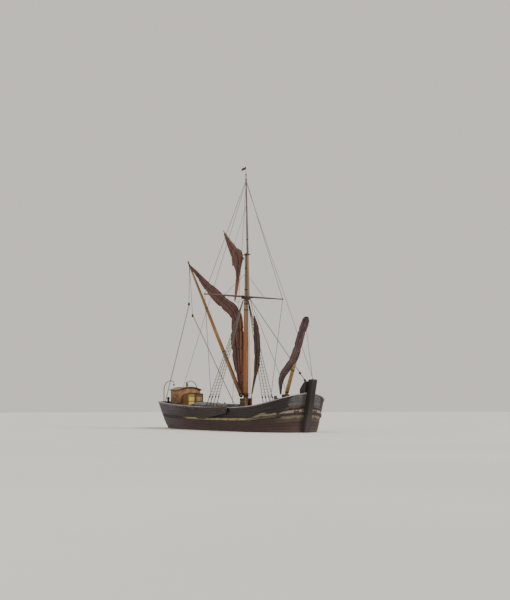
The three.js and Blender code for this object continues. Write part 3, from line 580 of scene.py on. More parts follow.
def tanned_canvas(name, deep, middle, crest, bloom, part=None, cloth=0.6):
    """Flax canvas dressed with oil and red ochre, and dulled by weather. Its cloths are 0.6 m
    wide, and the weave of 1 mm is too fine to show, so only its seams and creases are drawn."""
    material, tree = started(name)
    place = place_on(tree, "grain")
    fold = add(tree, "Attribute", attribute_name="fold").outputs["Fac"]
    masses = blotches(tree, place, (0.45, 0.8, 1), 4.0, 0.38, 0.62)
    creases = blotches(tree, place, (0.7, 6.0, 1), 6.0, 0.35, 0.65)
    mildew = blotches(tree, place, (1.7, 2.4, 1), 7.0, 0.52, 0.72)
    seams = add(
        tree,
        "TexBrick",
        {
            "Vector": place,
            "Color1": (0, 0, 0, 1),
            "Color2": (1, 1, 1, 1),
            "Scale": 1.0,
            "Mortar Size": 0.012,
            "Mortar Smooth": 0.3,
            "Brick Width": 40.0,
            "Row Height": cloth,
        },
    )
    # Painted shade: the cloth is darkened in the valleys between its folds.
    fold_valley_shade = add(tree, "MapRange", {0: fold, 1: 0.5, 2: 0.05, 3: 0.0, 4: 0.85}).outputs[0]
    colour = coats(
        tree,
        srgb(middle),
        (times(tree, seams.outputs[0], 0.2), deep),
        (times(tree, masses, 0.5), crest),
        (times(tree, creases, 0.35), deep),
        (fold_valley_shade, deep),
        (times(tree, mildew, 0.35), bloom),
        (times(tree, seams.outputs[1], 0.5), deep),
    )
    if part:
        axis, low, high, soft, shade = part
        way = add(tree, "SeparateXYZ", {0: add(tree, "TexCoord").outputs["Object"]}).outputs[axis]
        colour = coats(tree, colour, (times(tree, between(tree, way, low, high, soft), 0.75),
                                      shade))
    height = plus(tree, creases, times(tree, seams.outputs[1], 0.8))
    finished(tree, colour, 0.92, height, 0.012, {"Sheen Weight": 0.12, "Sheen Roughness": 0.6})
    return material


def rusty_iron():
    """Forged bar that has rusted: a brown skin with orange bloom and a few dark worn places."""
    material, tree = started("rusted_wrought_iron")
    place = place_on(tree, "x")
    rust = blotches(tree, place, (9, 9, 9), 7.0, 0.35, 0.65)
    scale = blotches(tree, place, (32, 32, 32), 4.0, 0.4, 0.7)
    colour = coats(
        tree, srgb("#3a2c27"), (times(tree, rust, 0.7), "#6d4028"),
        (times(tree, scale, 0.5), "#231b1a")
    )
    dull = add(tree, "MapRange", {0: rust, 3: 0.55, 4: 0.9}).outputs[0]
    finished(tree, colour, dull, scale, 0.003, {"Metallic": 0.35})
    return material


def rope_finish(name, dark, light, lay=0.05):
    """Three-strand hemp, tarred: its strands show as slanting ridges. A real strand repeats every
    40 mm on this size of rope, and it is drawn at about that."""
    material, tree = started(name)
    place = place_on(tree, "grain")
    at = add(tree, "SeparateXYZ", {0: place})
    slant = plus(tree, at.outputs[0], times(tree, at.outputs[1], 1.2))
    ridge = add(
        tree, "Math", {0: times(tree, slant, 2 * math.pi / lay)}, operation="SINE"
    ).outputs[0]
    ridge = add(tree, "MapRange", {0: ridge, 1: -1.0, 2: 1.0}).outputs[0]
    faded = blotches(tree, place, (1.3, 1.3, 1.3), 3.0)
    colour = coats(
        tree, srgb(dark), (times(tree, ridge, 0.6), light), (times(tree, faded, 0.4), light)
    )
    finished(tree, colour, 0.88, ridge, 0.004)
    return material


def tarpaulin():
    """Heavy canvas proofed with tar oil, laid over the hatch boards: dusty on its high places."""
    material, tree = started("proofed_canvas")
    place = place_on(tree, "grain")
    dust = blotches(tree, place, (0.8, 0.8, 1), 6.0, 0.35, 0.65)
    crease = blotches(tree, place, (1.0, 6.0, 1), 5.0, 0.4, 0.6)
    colour = coats(
        tree, srgb("#474b50"), (times(tree, dust, 0.7), "#777a7b"),
        (times(tree, crease, 0.4), "#2b2c2f")
    )
    finished(tree, colour, 0.85, crease, 0.01)
    return material


def window_glass(name, pane_tint, shade):
    """Old crown glass with a hard gloss, in a warm pane colour: on the yellow pane that colour is a
    painted reflection, on the tan pane a drawn blind.
    """
    material, tree = started(name)
    place = place_on(tree, "z")
    uneven = blotches(tree, place, (6, 6, 6), 3.0)
    colour = coats(tree, srgb(pane_tint), (times(tree, uneven, 0.5), shade))
    finished(tree, colour, 0.25, uneven, 0.002, {"Coat Weight": 1.0, "Coat Roughness": 0.05})
    return material


def brass():
    """Cast brass, handled: bright where it is rubbed and brown in the hollows."""
    material, tree = started("cast_brass")
    place = place_on(tree, "x")
    tarnish = blotches(tree, place, (14, 14, 14), 5.0)
    colour = coats(tree, srgb("#b08a44"), (times(tree, tarnish, 0.6), "#5e4622"))
    dull = add(tree, "MapRange", {0: tarnish, 3: 0.25, 4: 0.5}).outputs[0]
    finished(tree, colour, dull, tarnish, 0.001, {"Metallic": 1.0})
    return material


def by_height(low, high, soft, colour, strength=1.0):
    """Another colour over part of a spar, between two heights."""

    def lay(tree, place, under):
        z = add(tree, "SeparateXYZ", {0: add(tree, "TexCoord").outputs["Object"]}).outputs[2]
        return coats(tree, under, (times(tree, between(tree, z, low, high, soft), strength),
                                   colour))

    return lay


def several(*layers):
    def lay(tree, place, under):
        for layer in layers:
            under = layer(tree, place, under)
        return under

    return lay


TOPSIDES = painted_topsides()
WALE = chipped_ochre()
RAIL = timber("bleached_oak_rail", "grain", "#5d5158", "#92868c", "#b4a8ac", (5.0, 0.4), "#3c3236",
              more=stain((1.1, 6, 1), "#6d6066"))
DECK = timber("scrubbed_pine_deck", "x", "#4a3f36", "#6f6255", "#8d8072", (4.6, 0.14), "#1d1815",
              more=stain((0.8, 1.2, 1), "#544a42"))
OAK_UP = timber("tarred_oak_posts", "z", "#0b0908", "#17120f", "#2c231e", edge=0.03,
                edge_colour="#4d4038", more=by_height(-1.0, 1.5, 0.9, "#4c4042", 0.4))
OAK_ALONG = timber("tarred_oak_timbers", "x", "#0e0b0b", "#1c1617", "#30272a", (3.5, 0.3),
                   edge=0.02,
                   edge_colour="#4a3e42")
OAK_ACROSS = timber("tarred_oak_beams", "y", "#151110", "#2e2420", "#4a3a30", edge=0.02,
                    edge_colour="#655546")
OAK_CASE = timber("weathered_oak_case", "z", "#2c221d", "#4e3f35", "#6d5a4a", (6.0, 0.2),
                  edge=0.02,
                  edge_colour="#82705e")
OAK_MARKED = timber("oak_fittings", "grain", "#1a1512", "#33281f", "#524234")
MAST_WOOD = timber("oiled_spruce_mast", "grain", "#5a3114", "#87501f", "#a4692f",
                   rough=(0.38, 0.6),
                   coat=0.25, more=several(by_height(8.6, 30.0, 2.0, "#6f5c44", 0.85),
                                           by_height(-1.0, 3.1, 0.35, "#4e3320", 0.6)))
SPAR_WOOD = timber("weathered_spruce_spar", "grain", "#47301a", "#85592a", "#a67840",
                   rough=(0.45, 0.7), coat=0.15,
                   more=several(by_height(14.2, 16.0, 0.3, "#251a16", 0.85),
                                by_height(2.0, 3.9, 0.4, "#2e1f17", 0.7)))
TREE_WOOD = timber("greyed_spruce_crosstree", "grain", "#2b1e1b", "#4b3530", "#664c44",
                   rough=(0.5, 0.75))
TOPMAST_WOOD = timber("greyed_spruce_topmast", "grain", "#33262a", "#574349", "#745f64",
                      rough=(0.5, 0.75), more=by_height(9.0, 14.4, 0.3, "#6f5c44", 0.8))
BOWSPRIT_WOOD = timber("varnished_spruce_bowsprit", "grain", "#5a4220", "#876a3c", "#a58955",
                       rough=(0.45, 0.7), coat=0.2, more=by_height(8.0, 9.0, 0.1, "#1c1517", 0.9))
CABIN_WOOD = timber("varnished_pine_boards", "z", "#5a371e", "#8a5c34", "#a67845", (9.0, 0.125),
                    "#3a2315", rough=(0.5, 0.75), coat=0.1, edge=0.015, edge_colour="#6d4a2b",
                    more=stain((0.9, 2, 2), "#5c3f2b"))
# Painted light: the cabin sides get a lighter copy of the cabin's boards, to lift walls that stand in
# shade. Its stains are weather on the boards.
SIDE_WOOD = timber("pine_boards_painted_light", "z", "#6b482d", "#9c7349", "#b48d5c", (9.0, 0.125),
                   "#4a2e1c", rough=(0.6, 0.8), edge=0.015, edge_colour="#86643f",
                   more=several(stain((0.9, 2, 2), "#7c573a"),
                                by_height(-1.0, 2.72, 0.3, "#5d4940", 0.6)))
TRIM_WOOD = timber("dark_varnished_trim", "grain", "#24170f", "#432a19", "#644327",
                   rough=(0.45, 0.7),
                   coat=0.15)
SIDE_TRIM = timber("varnished_window_trim", "grain", "#5a3a22", "#8a5f39", "#a4794c",
                   rough=(0.45, 0.7), coat=0.15)
ROOF_CLOTH = timber("painted_canvas_roof", "x", "#5c4a30", "#8a6a42", "#a1845a", (8.0, 0.3),
                    "#4a3822",
                    rough=(0.6, 0.8), more=stain((1.2, 1.2, 1.2), "#6f6a50"))
DOOR_PAINT = timber("cream_painted_pine", "z", "#8f7a2e", "#bfa648", "#d0bb62", (5.0, 0.16),
                    "#5e4d22",
                    rough=(0.45, 0.65), edge=0.012, edge_colour="#6f5628",
                    more=stain((3, 9, 9), "#7d6030", 0.58, 0.7, 0.8))
DARK_DOOR = timber("ochre_painted_pine", "z", "#4f3818", "#7f5f30", "#987643", (5.0, 0.16),
                   "#2a1d10",
                   rough=(0.45, 0.65), edge=0.012, edge_colour="#4f3820")
COAMING_WOOD = timber("varnished_oak_coaming", "x", "#3f281a", "#66442c", "#826040", (6.0, 0.22),
                      "#2b1b12", edge=0.02, edge_colour="#957c5c")
HEMP = rope_finish("tarred_hemp", "#2f2a25", "#5c5347")
WIRE = rope_finish("galvanised_wire_served", "#4c4a4a", "#77736e", 0.03)
# Painted highlight: on the mainsail, the band from 0.85 to 3.0 m along x, by the mast, is lightened to a
# tan for the lit forward edge of the gathered sail.
CANVAS = tanned_canvas("tanned_flax_canvas", "#1c0e0b", "#43221a", "#6e3a2b", "#75493a",
                       ("X", 0.85, 3.0, 0.25, "#7d4a2e"))
TOPSAIL_CANVAS = tanned_canvas("tanned_light_canvas", "#22110d", "#4f2c22", "#7d4b3b", "#8a6456",
                               ("Z", 10.0, 12.4, 0.5, "#8a5633"))
FORE_CANVAS = tanned_canvas("tanned_dark_canvas", "#150f0a", "#382115", "#563625", "#6b5240",
                            ("Z", 2.0, 4.8, 0.9, "#5c4a2e"))
JIB_CANVAS = tanned_canvas("faded_tanned_canvas", "#1f161b", "#4c3437", "#7a5a5c", "#95807a",
                           ("Z", 8.05, 9.5, 0.15, "#1d1519"))
TARPAULIN = tarpaulin()
IRON = rusty_iron()
BRASS = brass()
# The yellow pane colour is a painted reflection in the glass.
GLASS = window_glass("glass_with_painted_yellow_reflection", "#c4ab45", "#8f7a2c")
TAN_GLASS = window_glass("glass_over_tan_blind", "#98763c", "#6a4f28")


# ---- fitting pieces to the frame -----------------------------------------------------------
def built(name, shape, finish):
    """The shape as an object, smooth but for its true corners."""
    mesh = bpy.data.meshes.new(name)
    mesh.from_pydata([tuple(p) for p in shape.points], [], shape.faces)
    layer = mesh.uv_layers.new(name="grain")
    layer.data.foreach_set("uv", [value for mark in shape.grain for value in mark])
    work = bmesh.new()
    work.from_mesh(mesh)
    bmesh.ops.recalc_face_normals(work, faces=work.faces)
    work.to_mesh(mesh)
    work.free()
    if shape.folds:
        fold = mesh.attributes.new("fold", "FLOAT", "POINT")
        fold.data.foreach_set("value", shape.folds)
    mesh.polygons.foreach_set("use_smooth", [True] * len(mesh.polygons))
    mesh.set_sharp_from_angle(angle=math.radians(38))
    mesh.materials.append(finish)
    made = bpy.data.objects.new(name, mesh)
    bpy.context.scene.collection.objects.link(made)
    return made


def ease(made, width):
    """Takes the sharpness off an object's corners."""
    bevel = made.modifiers.new("eased corners", "BEVEL")
    bevel.width, bevel.segments = width, 2
    bevel.limit_method, bevel.angle_limit = "ANGLE", math.radians(38)


def fit(name, shape, finish, body="hull", stands_for=(), eased=0.0):
    """Makes a piece and fastens it to a body, in place of the nodes it stands for."""
    made = built(name, shape, finish)
    if eased:
        ease(made, eased)
    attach(made, body)
    if stands_for:
        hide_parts(*stands_for)
    return made


def stretch_across(name, shape, finish, moving, start, end):
    """Rope between the hull and a moving body, built where it lies at rest."""
    made = built(name, shape, finish)
    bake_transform(made)
    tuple(start)
    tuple(end)
    return made


def keep(name, finish, eased=0.0):
    """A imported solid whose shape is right: it gets its finish and eased corners."""
    solid = nodes[name]
    solid.data.materials.clear()
    solid.data.materials.append(finish)
    if eased:
        weld = solid.modifiers.new("one skin", "WELD")
        weld.merge_threshold = 0.0002
        ease(solid, eased)


# ---- the view ------------------------------------------------------------------------------
MAST_X = 1.75
EYE = 1.74  # somebody standing on the shore
AWAY = 78.0
AZIMUTH = math.radians(60.5)
SENSOR = 36.0
LENS = 56.68
TURN_RIGHT = math.radians(0.546)
LOOK_UP = math.radians(6.58)


def add_camera():
    data = bpy.data.cameras.new("shore view")
    data.sensor_width, data.lens = SENSOR, LENS
    data.clip_start, data.clip_end = 1.0, 2000.0
    view = bpy.data.objects.new("shore view", data)
    bpy.context.scene.collection.objects.link(view)
    right = Vector((math.cos(AZIMUTH), math.sin(AZIMUTH), 0))
    ahead = Vector((-math.sin(AZIMUTH), math.cos(AZIMUTH), 0))
    level = ahead * math.cos(TURN_RIGHT) + right * math.sin(TURN_RIGHT)
    right = right * math.cos(TURN_RIGHT) - ahead * math.sin(TURN_RIGHT)
    forward = level * math.cos(LOOK_UP) + Vector((0, 0, math.sin(LOOK_UP)))
    up = right.cross(forward)
    turn = Matrix((right, up, -forward)).transposed().to_4x4()
    at = (MAST_X + AWAY * math.sin(AZIMUTH), -AWAY * math.cos(AZIMUTH), EYE)
    view.matrix_world = Matrix.Translation(at) @ turn
    bpy.context.scene.camera = view


add_camera()


# ---- hull ----------------------------------------------------------------------------------
def topsides(side):
    """Half of her planking: flat bottom, sides with caulked seams, and the bulwark's inner face."""
    rows, marks = [], []
    for k, run in FRAMES:
        rail_x, _, foot_x, foot_y = station(k)
        top = rail_height(rail_x) - RAIL_THICK
        row, mark = [], []
        for share in (0.0, 0.35, 0.7, 0.985):
            row.append(Vector((foot_x, side * foot_y * share, 0)))
            mark.append((run, -(1 - share) * 15))
        lip = 0.012 / top
        for n in range(STRAKES):
            low, high = n / STRAKES, (n + 1) / STRAKES
            for share, out in ((low + lip, 0.0), ((low + high) / 2, 0.006), (high - lip, 0.0),
                               (high, -0.014)):
                if n == STRAKES - 1 and share == high:
                    continue
                row.append(planking_at(k, share * top, side, out))
                mark.append((run, share * STRAKES))
        edge = planking_at(k, top, side)
        inner = edge - outward(k, side) * BULWARK_THICK
        deck = rail_height(rail_x) - BULWARK - 0.03
        for point in (edge, inner, Vector((inner.x, inner.y, deck))):
            row.append(point)
        mark += [(run, 11.0), (run, 11.4), (run, 13.6)]
        rows.append(row)
        marks.append(mark)
    return skin_over(rows, grain=lambda i, j: marks[i][j])


def along_rail(section, first=0, last=None):
    """A length of timber bent round the rail line. section(k, run) lists its corners."""
    places = FRAMES[first:last]
    rows = [section(k, run) for k, run in places]
    count = len(rows[0])
    girth = [0.0]
    for j in range(count):
        girth.append(girth[-1] + (rows[0][(j + 1) % count] - rows[0][j]).length)
    return skin_over(rows, closed=True, capped=True, grain=lambda i, j: (places[i][1], girth[j]))


def capping_rail(side):
    corners = ((-0.17, -0.066), (-0.17, -0.014), (-0.156, 0.0), (-0.06, 0.0), (0.026, 0.0),
               (0.04, -0.014), (0.04, -0.066), (0.026, -0.08), (-0.156, -0.08))

    def section(k, _):
        top = rail_height(station(k)[0])
        at = planking_at(k, top, side)
        out = outward(k, side)
        return [at + out * a + Vector((0, 0, b)) for a, b in corners]

    return along_rail(section)


def wale(side):
    """A rubbing strake, chewed up where she has lain against a quay under the bow."""
    corners = ((0.0, -0.085), (0.075, -0.085), (0.09, -0.065), (0.09, 0.0), (0.09, 0.065),
               (0.075, 0.085), (0.0, 0.085))

    def section(k, run):
        middle = rail_height(station(k)[0]) * 0.49
        ring = []
        for j, (a, b) in enumerate(corners):
            torn = max(0, 1 - abs(run - 20.8) / 1.6)
            rough = noise.noise(Vector((run * 9, j * 3.1, side))) * torn
            point = planking_at(k, middle + b, side,
                                max(0.0, a - 0.05 * torn * (a > 0) + rough * 0.05))
            ring.append(point + Vector((0, 0, rough * 0.06)))
        return ring

    return along_rail(section, 3, -2)


def bow_moulding(side):
    """A thin bead across the bow, over the hawse."""

    def section(k, _):
        z = rail_height(station(k)[0]) * 0.68
        return [planking_at(k, z + b, side, a) for a,
                b in ((0, -0.035), (0.035, -0.02), (0.035, 0.02), (0, 0.035))]

    return along_rail(section, 83, -2)


def turn_along(k, side):
    """The turn that lays a squared timber's first side along the planking."""
    out = outward(k, side)
    return Matrix(((out.y, out.x, 0), (-out.x, out.y, 0), (0, 0, 1)))


def add_hull():
    for name, side in SIDES:
        stands_for = (f"bulwark_{name}", "hull") if side < 0 else (f"bulwark_{name}",)
        fit(f"planking_{name}", topsides(side), TOPSIDES,
            stands_for=stands_for)
        fit(f"capping_rail_{name}", capping_rail(side), RAIL,
            stands_for=(f"rail_{name}",))
        fit(f"rubbing_strake_{name}", wale(side), WALE,
            stands_for=(f"wale_{name}",))
        fit(f"bow_bead_{name}", bow_moulding(side), TRIM_WOOD)

        heads = []
        for i in range(19):
            x = -10.2 + i * 1.12
            k = k_of(x)
            low, high = deck_height(x) - 0.02, rail_height(x) - RAIL_THICK
            at = planking_at(k, high, side, -BULWARK_THICK - 0.045)
            at.z = (low + high) / 2
            heads.append(board((0.11, 0.09, high - low), at, turn_along(k, side)))
        fit(f"timberheads_{name}", joined(heads), OAK_MARKED, eased=0.008)

        pin_x, pin_z = 3.65, 1.65
        pin = turned([(0, 0.036), (0.23, 0.036), (0.245, 0.028)], (pin_x, side * 2.8, pin_z),
                     (pin_x, side * 4, pin_z), 16)
        washer = turned([(0, 0.09), (0.006, 0.1), (0.018, 0.1), (0.024, 0.09)],
                        (pin_x, side * 2.996, pin_z), (pin_x, side * 4, pin_z), 20)
        plate = board((0.34, 0.012, 0.26), (pin_x, side * 2.812, pin_z))
        fit(f"leeboard_pin_{name}", joined([pin, washer, plate]), IRON)

        # The hawse: an iron lip round a black mouth. The mouth is a shallow dark disc on the planking,
        # painted shade where the open hole would be.
        k, z = 1.852, 1.56
        at, out = planking_at(k, z, side), outward(k, side)
        lip = hoop(at + out * 0.012, out, 0.15, 0.035, sides=8)
        fit(f"hawse_lip_{name}", lip, IRON)
        mouth = turned([(0, 0.14), (0.012, 0.13), (0.014, 0.05)], at, at + out, 20)
        fit(f"hawse_shade_disc_{name}", mouth, OAK_MARKED)

    keep("deck", DECK)
    keep("stem_post", OAK_UP, 0.02)
    keep("transom", OAK_ACROSS, 0.01)
    keep("sternpost", OAK_UP, 0.015)
    keep("knighthead_starboard", OAK_UP, 0.02)
    keep("knighthead_port", OAK_UP, 0.02)


add_hull()


# ---- stern gear ----------------------------------------------------------------------------
POST_FOOT, POST_RAKE = -11.1015, 0.3252


def rake_point(z, ahead):
    """A point by the raked sternpost, at a height: `ahead` is measured from its after face."""
    return Vector((POST_FOOT - POST_RAKE * (z - 0.06) + ahead, 0, z))


def add_stern():
    keep("rudder", OAK_UP, 0.02)
    straps, sockets = [], []
    for z in (0.55, 1.25, 1.95):
        for side in (-1, 1):
            y = side * 0.071
            edge = rake_point(z, -0.07)
            straps.append(board((0.55, 0.014, 0.085), (edge.x - 0.33, y, z)))
            post = rake_point(z, 0.0)
            sockets.append(board((0.17, 0.014, 0.085), (post.x + 0.08, side * 0.127, z)))
        sockets.append(turned([(0, 0.03), (0.1, 0.03)], rake_point(z - 0.05, -0.035),
                              rake_point(z + 0.05, -0.035), 12))
    fit("rudder_straps", joined(straps), IRON, "rudder", eased=0.004)
    fit("rudder_gudgeons", joined(sockets), IRON, eased=0.004)

    # Steering wheel: turned spokes through a rim of eight felloes, on a brass-capped nave.
    hub = Vector((-11.04, 0, 2.9))
    profile = [(0.07, 0.032), (0.1, 0.028), (0.16, 0.02), (0.24, 0.027), (0.3, 0.018),
               (0.34, 0.026),
               (0.43, 0.024), (0.5, 0.022), (0.53, 0.014), (0.58, 0.024), (0.62, 0.022),
               (0.638, 0.01)]
    spokes = []
    for i in range(8):
        a = 2 * math.pi * i / 8
        spokes.append(turned(profile, hub, hub + Vector((0, math.sin(a), math.cos(a))), 12))
    rim_rows = []
    for i in range(65):
        a = 2 * math.pi * i / 64
        out = Vector((0, math.sin(a), math.cos(a)))
        corners = ((-0.024, 0.45), (0.024, 0.45), (0.03, 0.465), (0.03, 0.5), (0.02, 0.516),
                   (-0.02, 0.516),
                   (-0.03, 0.5), (-0.03, 0.465))
        rim_rows.append([hub + Vector((c[0], 0, 0)) + out * c[1] for c in corners])
    rim = skin_over(rim_rows, closed=True)
    nave = turned([(0, 0.06), (0.01, 0.085), (0.05, 0.09), (0.1, 0.085), (0.11, 0.06)],
                  hub - Vector((0.055, 0, 0)), hub + Vector((1, 0, 0)), 24)
    fit("steering_wheel_spokes", joined(spokes + [rim, nave]), TRIM_WOOD, "wheel",
        ("steering_wheel",))
    cap = turned([(0, 0.05), (0.006, 0.05), (0.012, 0.03), (0.016, 0.01)],
                 hub + Vector((0.054, 0, 0)),
                 hub + Vector((1, 0, 0)), 20)
    ring = band(hub, (1, 0, 0), 0.449, 0.05, 0.003)
    fit("steering_wheel_brass", joined([cap, ring]), BRASS, "wheel")
    keep("wheel_stand", CABIN_WOOD, 0.012)
    lid = board((0.3, 0.66, 0.03), (-11.247, 0, 3.03))
    fit("wheel_stand_lid", lid, TRIM_WOOD, eased=0.01)

    for name, side in SIDES:
        x, y, foot, knee, reach = -10.65, side * 1.7, 1.965, 3.56, 1.0
        points = [Vector((x, y, foot + (knee - foot) * i / 10)) for i in range(11)]
        curve = ((0, knee), (0, knee + 0.72), (reach * 0.75, knee + 1.0), (reach, knee + 0.62))
        for i in range(1, 25):
            t = i / 24
            w = ((1 - t) ** 3, 3 * t * (1 - t) ** 2, 3 * t * t * (1 - t), t**3)
            inward = sum(a * c[0] for a, c in zip(w, curve))
            z = sum(a * c[1] for a, c in zip(w, curve))
            points.append(Vector((x, y - side * inward, z)))
        arm = run_along(points, lambda t: 0.042 - 0.012 * t, 12)
        tip = points[-1]
        eye = hoop(tip + Vector((0, 0, -0.03)), (1, 0, 0), 0.032, 0.01)
        fit(f"davit_arm_{name}", joined([arm, eye]), IRON, f"davit_{name}",
            (f"davit_{name}",))
        fall = pulley(tip - Vector((0, 0, 0.2)), 0.2)
        strop = run_along([tip - Vector((0, 0, 0.04)), tip - Vector((0, 0, 0.31))], 0.012)
        fit(f"davit_block_{name}", joined([fall, strop]), OAK_MARKED, f"davit_{name}")
        socket = turned([(0, 0.1), (0.02, 0.1), (0.03, 0.062), (0.16, 0.058), (0.17, 0.05)],
                        (x, y, 1.962), (x, y, 3), 20)
        collar = band((x, y, rail_height(x) - 0.04), (0, 0, 1), 0.044, 0.06, 0.02)
        fit(f"davit_socket_{name}", joined([socket, collar]), IRON)


add_stern()


# ---- cabin ---------------------------------------------------------------------------------
def arch_rows(half, base, rise, x0, x1, thick, count=28, steps=8):
    """An arched slab over a house, between two places along the barge."""
    rows = []
    for i in range(steps + 1):
        x = between_values(x0, x1, i / steps)
        over = [(between_values(-1, 1, j / count)) for j in range(count + 1)]
        row = [Vector((x, a * half, base + rise * (1 - a * a) + thick)) for a in over]
        row += [Vector((x, a * half, base + rise * (1 - a * a))) for a in reversed(over)]
        rows.append(row)
    return skin_over(rows, closed=True, capped=True)


def window(x, y, z, wide, high, side):
    """A fixed light in a fore-and-aft wall: frame, glazing bar and pane."""
    frame_parts = []
    for dz in (-high / 2, high / 2):
        frame_parts.append(board((wide + 0.1, 0.03, 0.05), (x, y, z + dz)))
    for dx in (-wide / 2, 0, wide / 2):
        frame_parts.append(board((0.05 if dx else 0.028, 0.03, high + 0.04), (x + dx, y, z)))
    pane = board((wide, 0.008, high), (x, y - side * 0.035, z))
    return joined(frame_parts), pane


def add_cabin():
    aft, fore, half, eave = -10.55, -8.65, 1.0, 3.45
    for name, _ in SIDES:
        keep(f"cabin_side_{name}", SIDE_WOOD, 0.006)
    keep("cabin_aft_wall", CABIN_WOOD, 0.006)
    keep("cabin_front_wall", CABIN_WOOD, 0.006)
    keep("companion", CABIN_WOOD, 0.008)
    frames_made, panes, posts = [], [], []
    for _, side in SIDES:
        for share in (0.3, 0.72):
            x = between_values(aft, fore, share)
            made, pane = window(x, side * (half + 0.012), 2.88, 0.46, 0.4, side)
            frames_made.append(made)
            panes.append(pane)
        for x in (aft, fore):
            low = deck_height(x) - 0.02
            posts.append(board((0.075, 0.075, eave - low), (x, side * half, (eave + low) / 2)))
        low = deck_height(aft)
        middle, length = (aft + fore) / 2, fore - aft
        frames_made.append(board((length, 0.03, 0.14),
                                 (middle, side * (half + 0.015), low + 0.05)))
        frames_made.append(board((length + 0.1, 0.035, 0.06),
                                 (middle, side * (half + 0.017), eave - 0.03)))
        # A strip under the windows breaks the tall wall, as a plank edge does.
        frames_made.append(board((length, 0.022, 0.04), (middle, side * (half + 0.011), 2.6)))
    fit("cabin_trim", joined(frames_made + posts), SIDE_TRIM, eased=0.006)
    fit("cabin_panes", joined(panes), TAN_GLASS)

    roof = arch_rows(1.13, 3.45, 0.26, -10.68, -8.52, 0.055)
    fit("cabin_roof_canvas", roof, ROOF_CLOTH, stands_for=("cabin_roof",))
    edges = []
    for x in (-10.672, -8.528):
        line = [Vector((x, a * 1.13, 3.45 + 0.26 * (1 - a * a) + 0.028)) for a in
                (between_values(-1, 1, i / 24) for i in range(25))]
        edges.append(strip(line, 0.085, 0.03, (0, 0, 1)))
    for _, side in SIDES:
        edges.append(board((2.15, 0.03, 0.085), (-9.6, side * 1.125, 3.474)))
        for x in (-10.2, -9.6, -9.0):
            edges.append(board((0.04, 0.04, 0.06), (x, side * 0.72, 3.45 + 0.26 * 0.6 + 0.075)))
        edges.append(run_along([(-10.35, side * 0.72, 3.71), (-8.85, side * 0.72, 3.71)], 0.018,
                               8))
    fit("cabin_roof_edge", joined(edges), TRIM_WOOD, eased=0.006)

    # Companion: a sliding scuttle on runners, door posts and a sill.
    trim = [board((0.96, 0.05, 0.045), (-8.06, side * 0.36, 3.185 - 0.012)) for side in (-1, 1)]
    trim.append(board((0.5, 0.8, 0.035), (-7.86, 0, 3.215 - 0.015)))
    low = deck_height(-7.6)
    for side in (-1, 1):
        trim.append(board((0.05, 0.06, 3.06 - low), (-7.585, side * 0.775, (3.06 + low) / 2)))
        trim.append(board((0.92, 0.04, 0.07), (-8.04, side * 0.765, 3.06)))
    line = [Vector((-7.556, a * 0.8, 3.085 + 0.09 * (1 - a * a))) for a in
            (between_values(-1, 1, i / 16) for i in range(17))]
    trim.append(strip(line, 0.07, 0.06))
    trim.append(board((0.07, 1.5, 0.09), (-7.6, 0, low + 0.06)))
    fit("companion_trim", joined(trim), TRIM_WOOD, eased=0.008)
    for name, side in SIDES:
        node = f"companion_door_{name}"
        keep(node, DOOR_PAINT if side < 0 else DARK_DOOR, 0.006)
        low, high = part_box(node)
        middle = (low.y + high.y) / 2
        rails = []
        for z in (low.z + 0.05, low.z + 0.52, low.z + 0.99, high.z - 0.05):
            rails.append(board((0.012, high.y - low.y - 0.02, 0.07), (high.x + 0.005, middle, z)))
        for y in (low.y + 0.045, high.y - 0.045):
            rails.append(board((0.012, 0.07, high.z - low.z - 0.02),
                               (high.x + 0.006, y, (low.z + high.z) / 2)))
        fit(f"door_rails_{name}", joined(rails), DOOR_PAINT if side < 0 else DARK_DOOR,
            f"door_{name}", eased=0.003)
        pane = board((0.008, 0.3, 0.39), ((low.x + high.x) / 2, side * 0.37, low.z + 0.755))
        fit(f"door_pane_{name}", pane, GLASS if side < 0 else TAN_GLASS, f"door_{name}")
        cover = board((0.016, 0.1, high.z - low.z - 0.01),
                      (high.x + 0.016, side * 0.058, (low.z + high.z) / 2))
        fit(f"door_cover_strip_{name}", cover, TRIM_WOOD, f"door_{name}", eased=0.003)
        knob = turned([(0, 0.012), (0.03, 0.012), (0.035, 0.026), (0.055, 0.026), (0.065, 0.012)],
                      (high.x + 0.02, side * 0.06, low.z + 0.62),
                      (high.x + 1, side * 0.06, low.z + 0.62), 14)
        fit(f"door_knob_{name}", knob, BRASS, f"door_{name}")

    low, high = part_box("stovepipe")
    x = (low.x + high.x) / 2
    pipe = turned([(0, 0.085), (0.02, 0.085), (0.03, 0.056), (0.3, 0.055), (0.31, 0.06),
                   (0.33, 0.06),
                   (0.34, 0.055), (0.355, 0.088), (0.37, 0.09), (0.4, 0.085), (0.425, 0.05),
                   (0.43, 0.01)],
                  (x, 0, low.z), (x, 0, high.z), 24)
    fit("stove_chimney", pipe, IRON, stands_for=("stovepipe",))
    flange = board((0.26, 0.26, 0.02), (x, 0, low.z + 0.006))
    fit("stove_flange", flange, IRON, eased=0.006)


add_cabin()


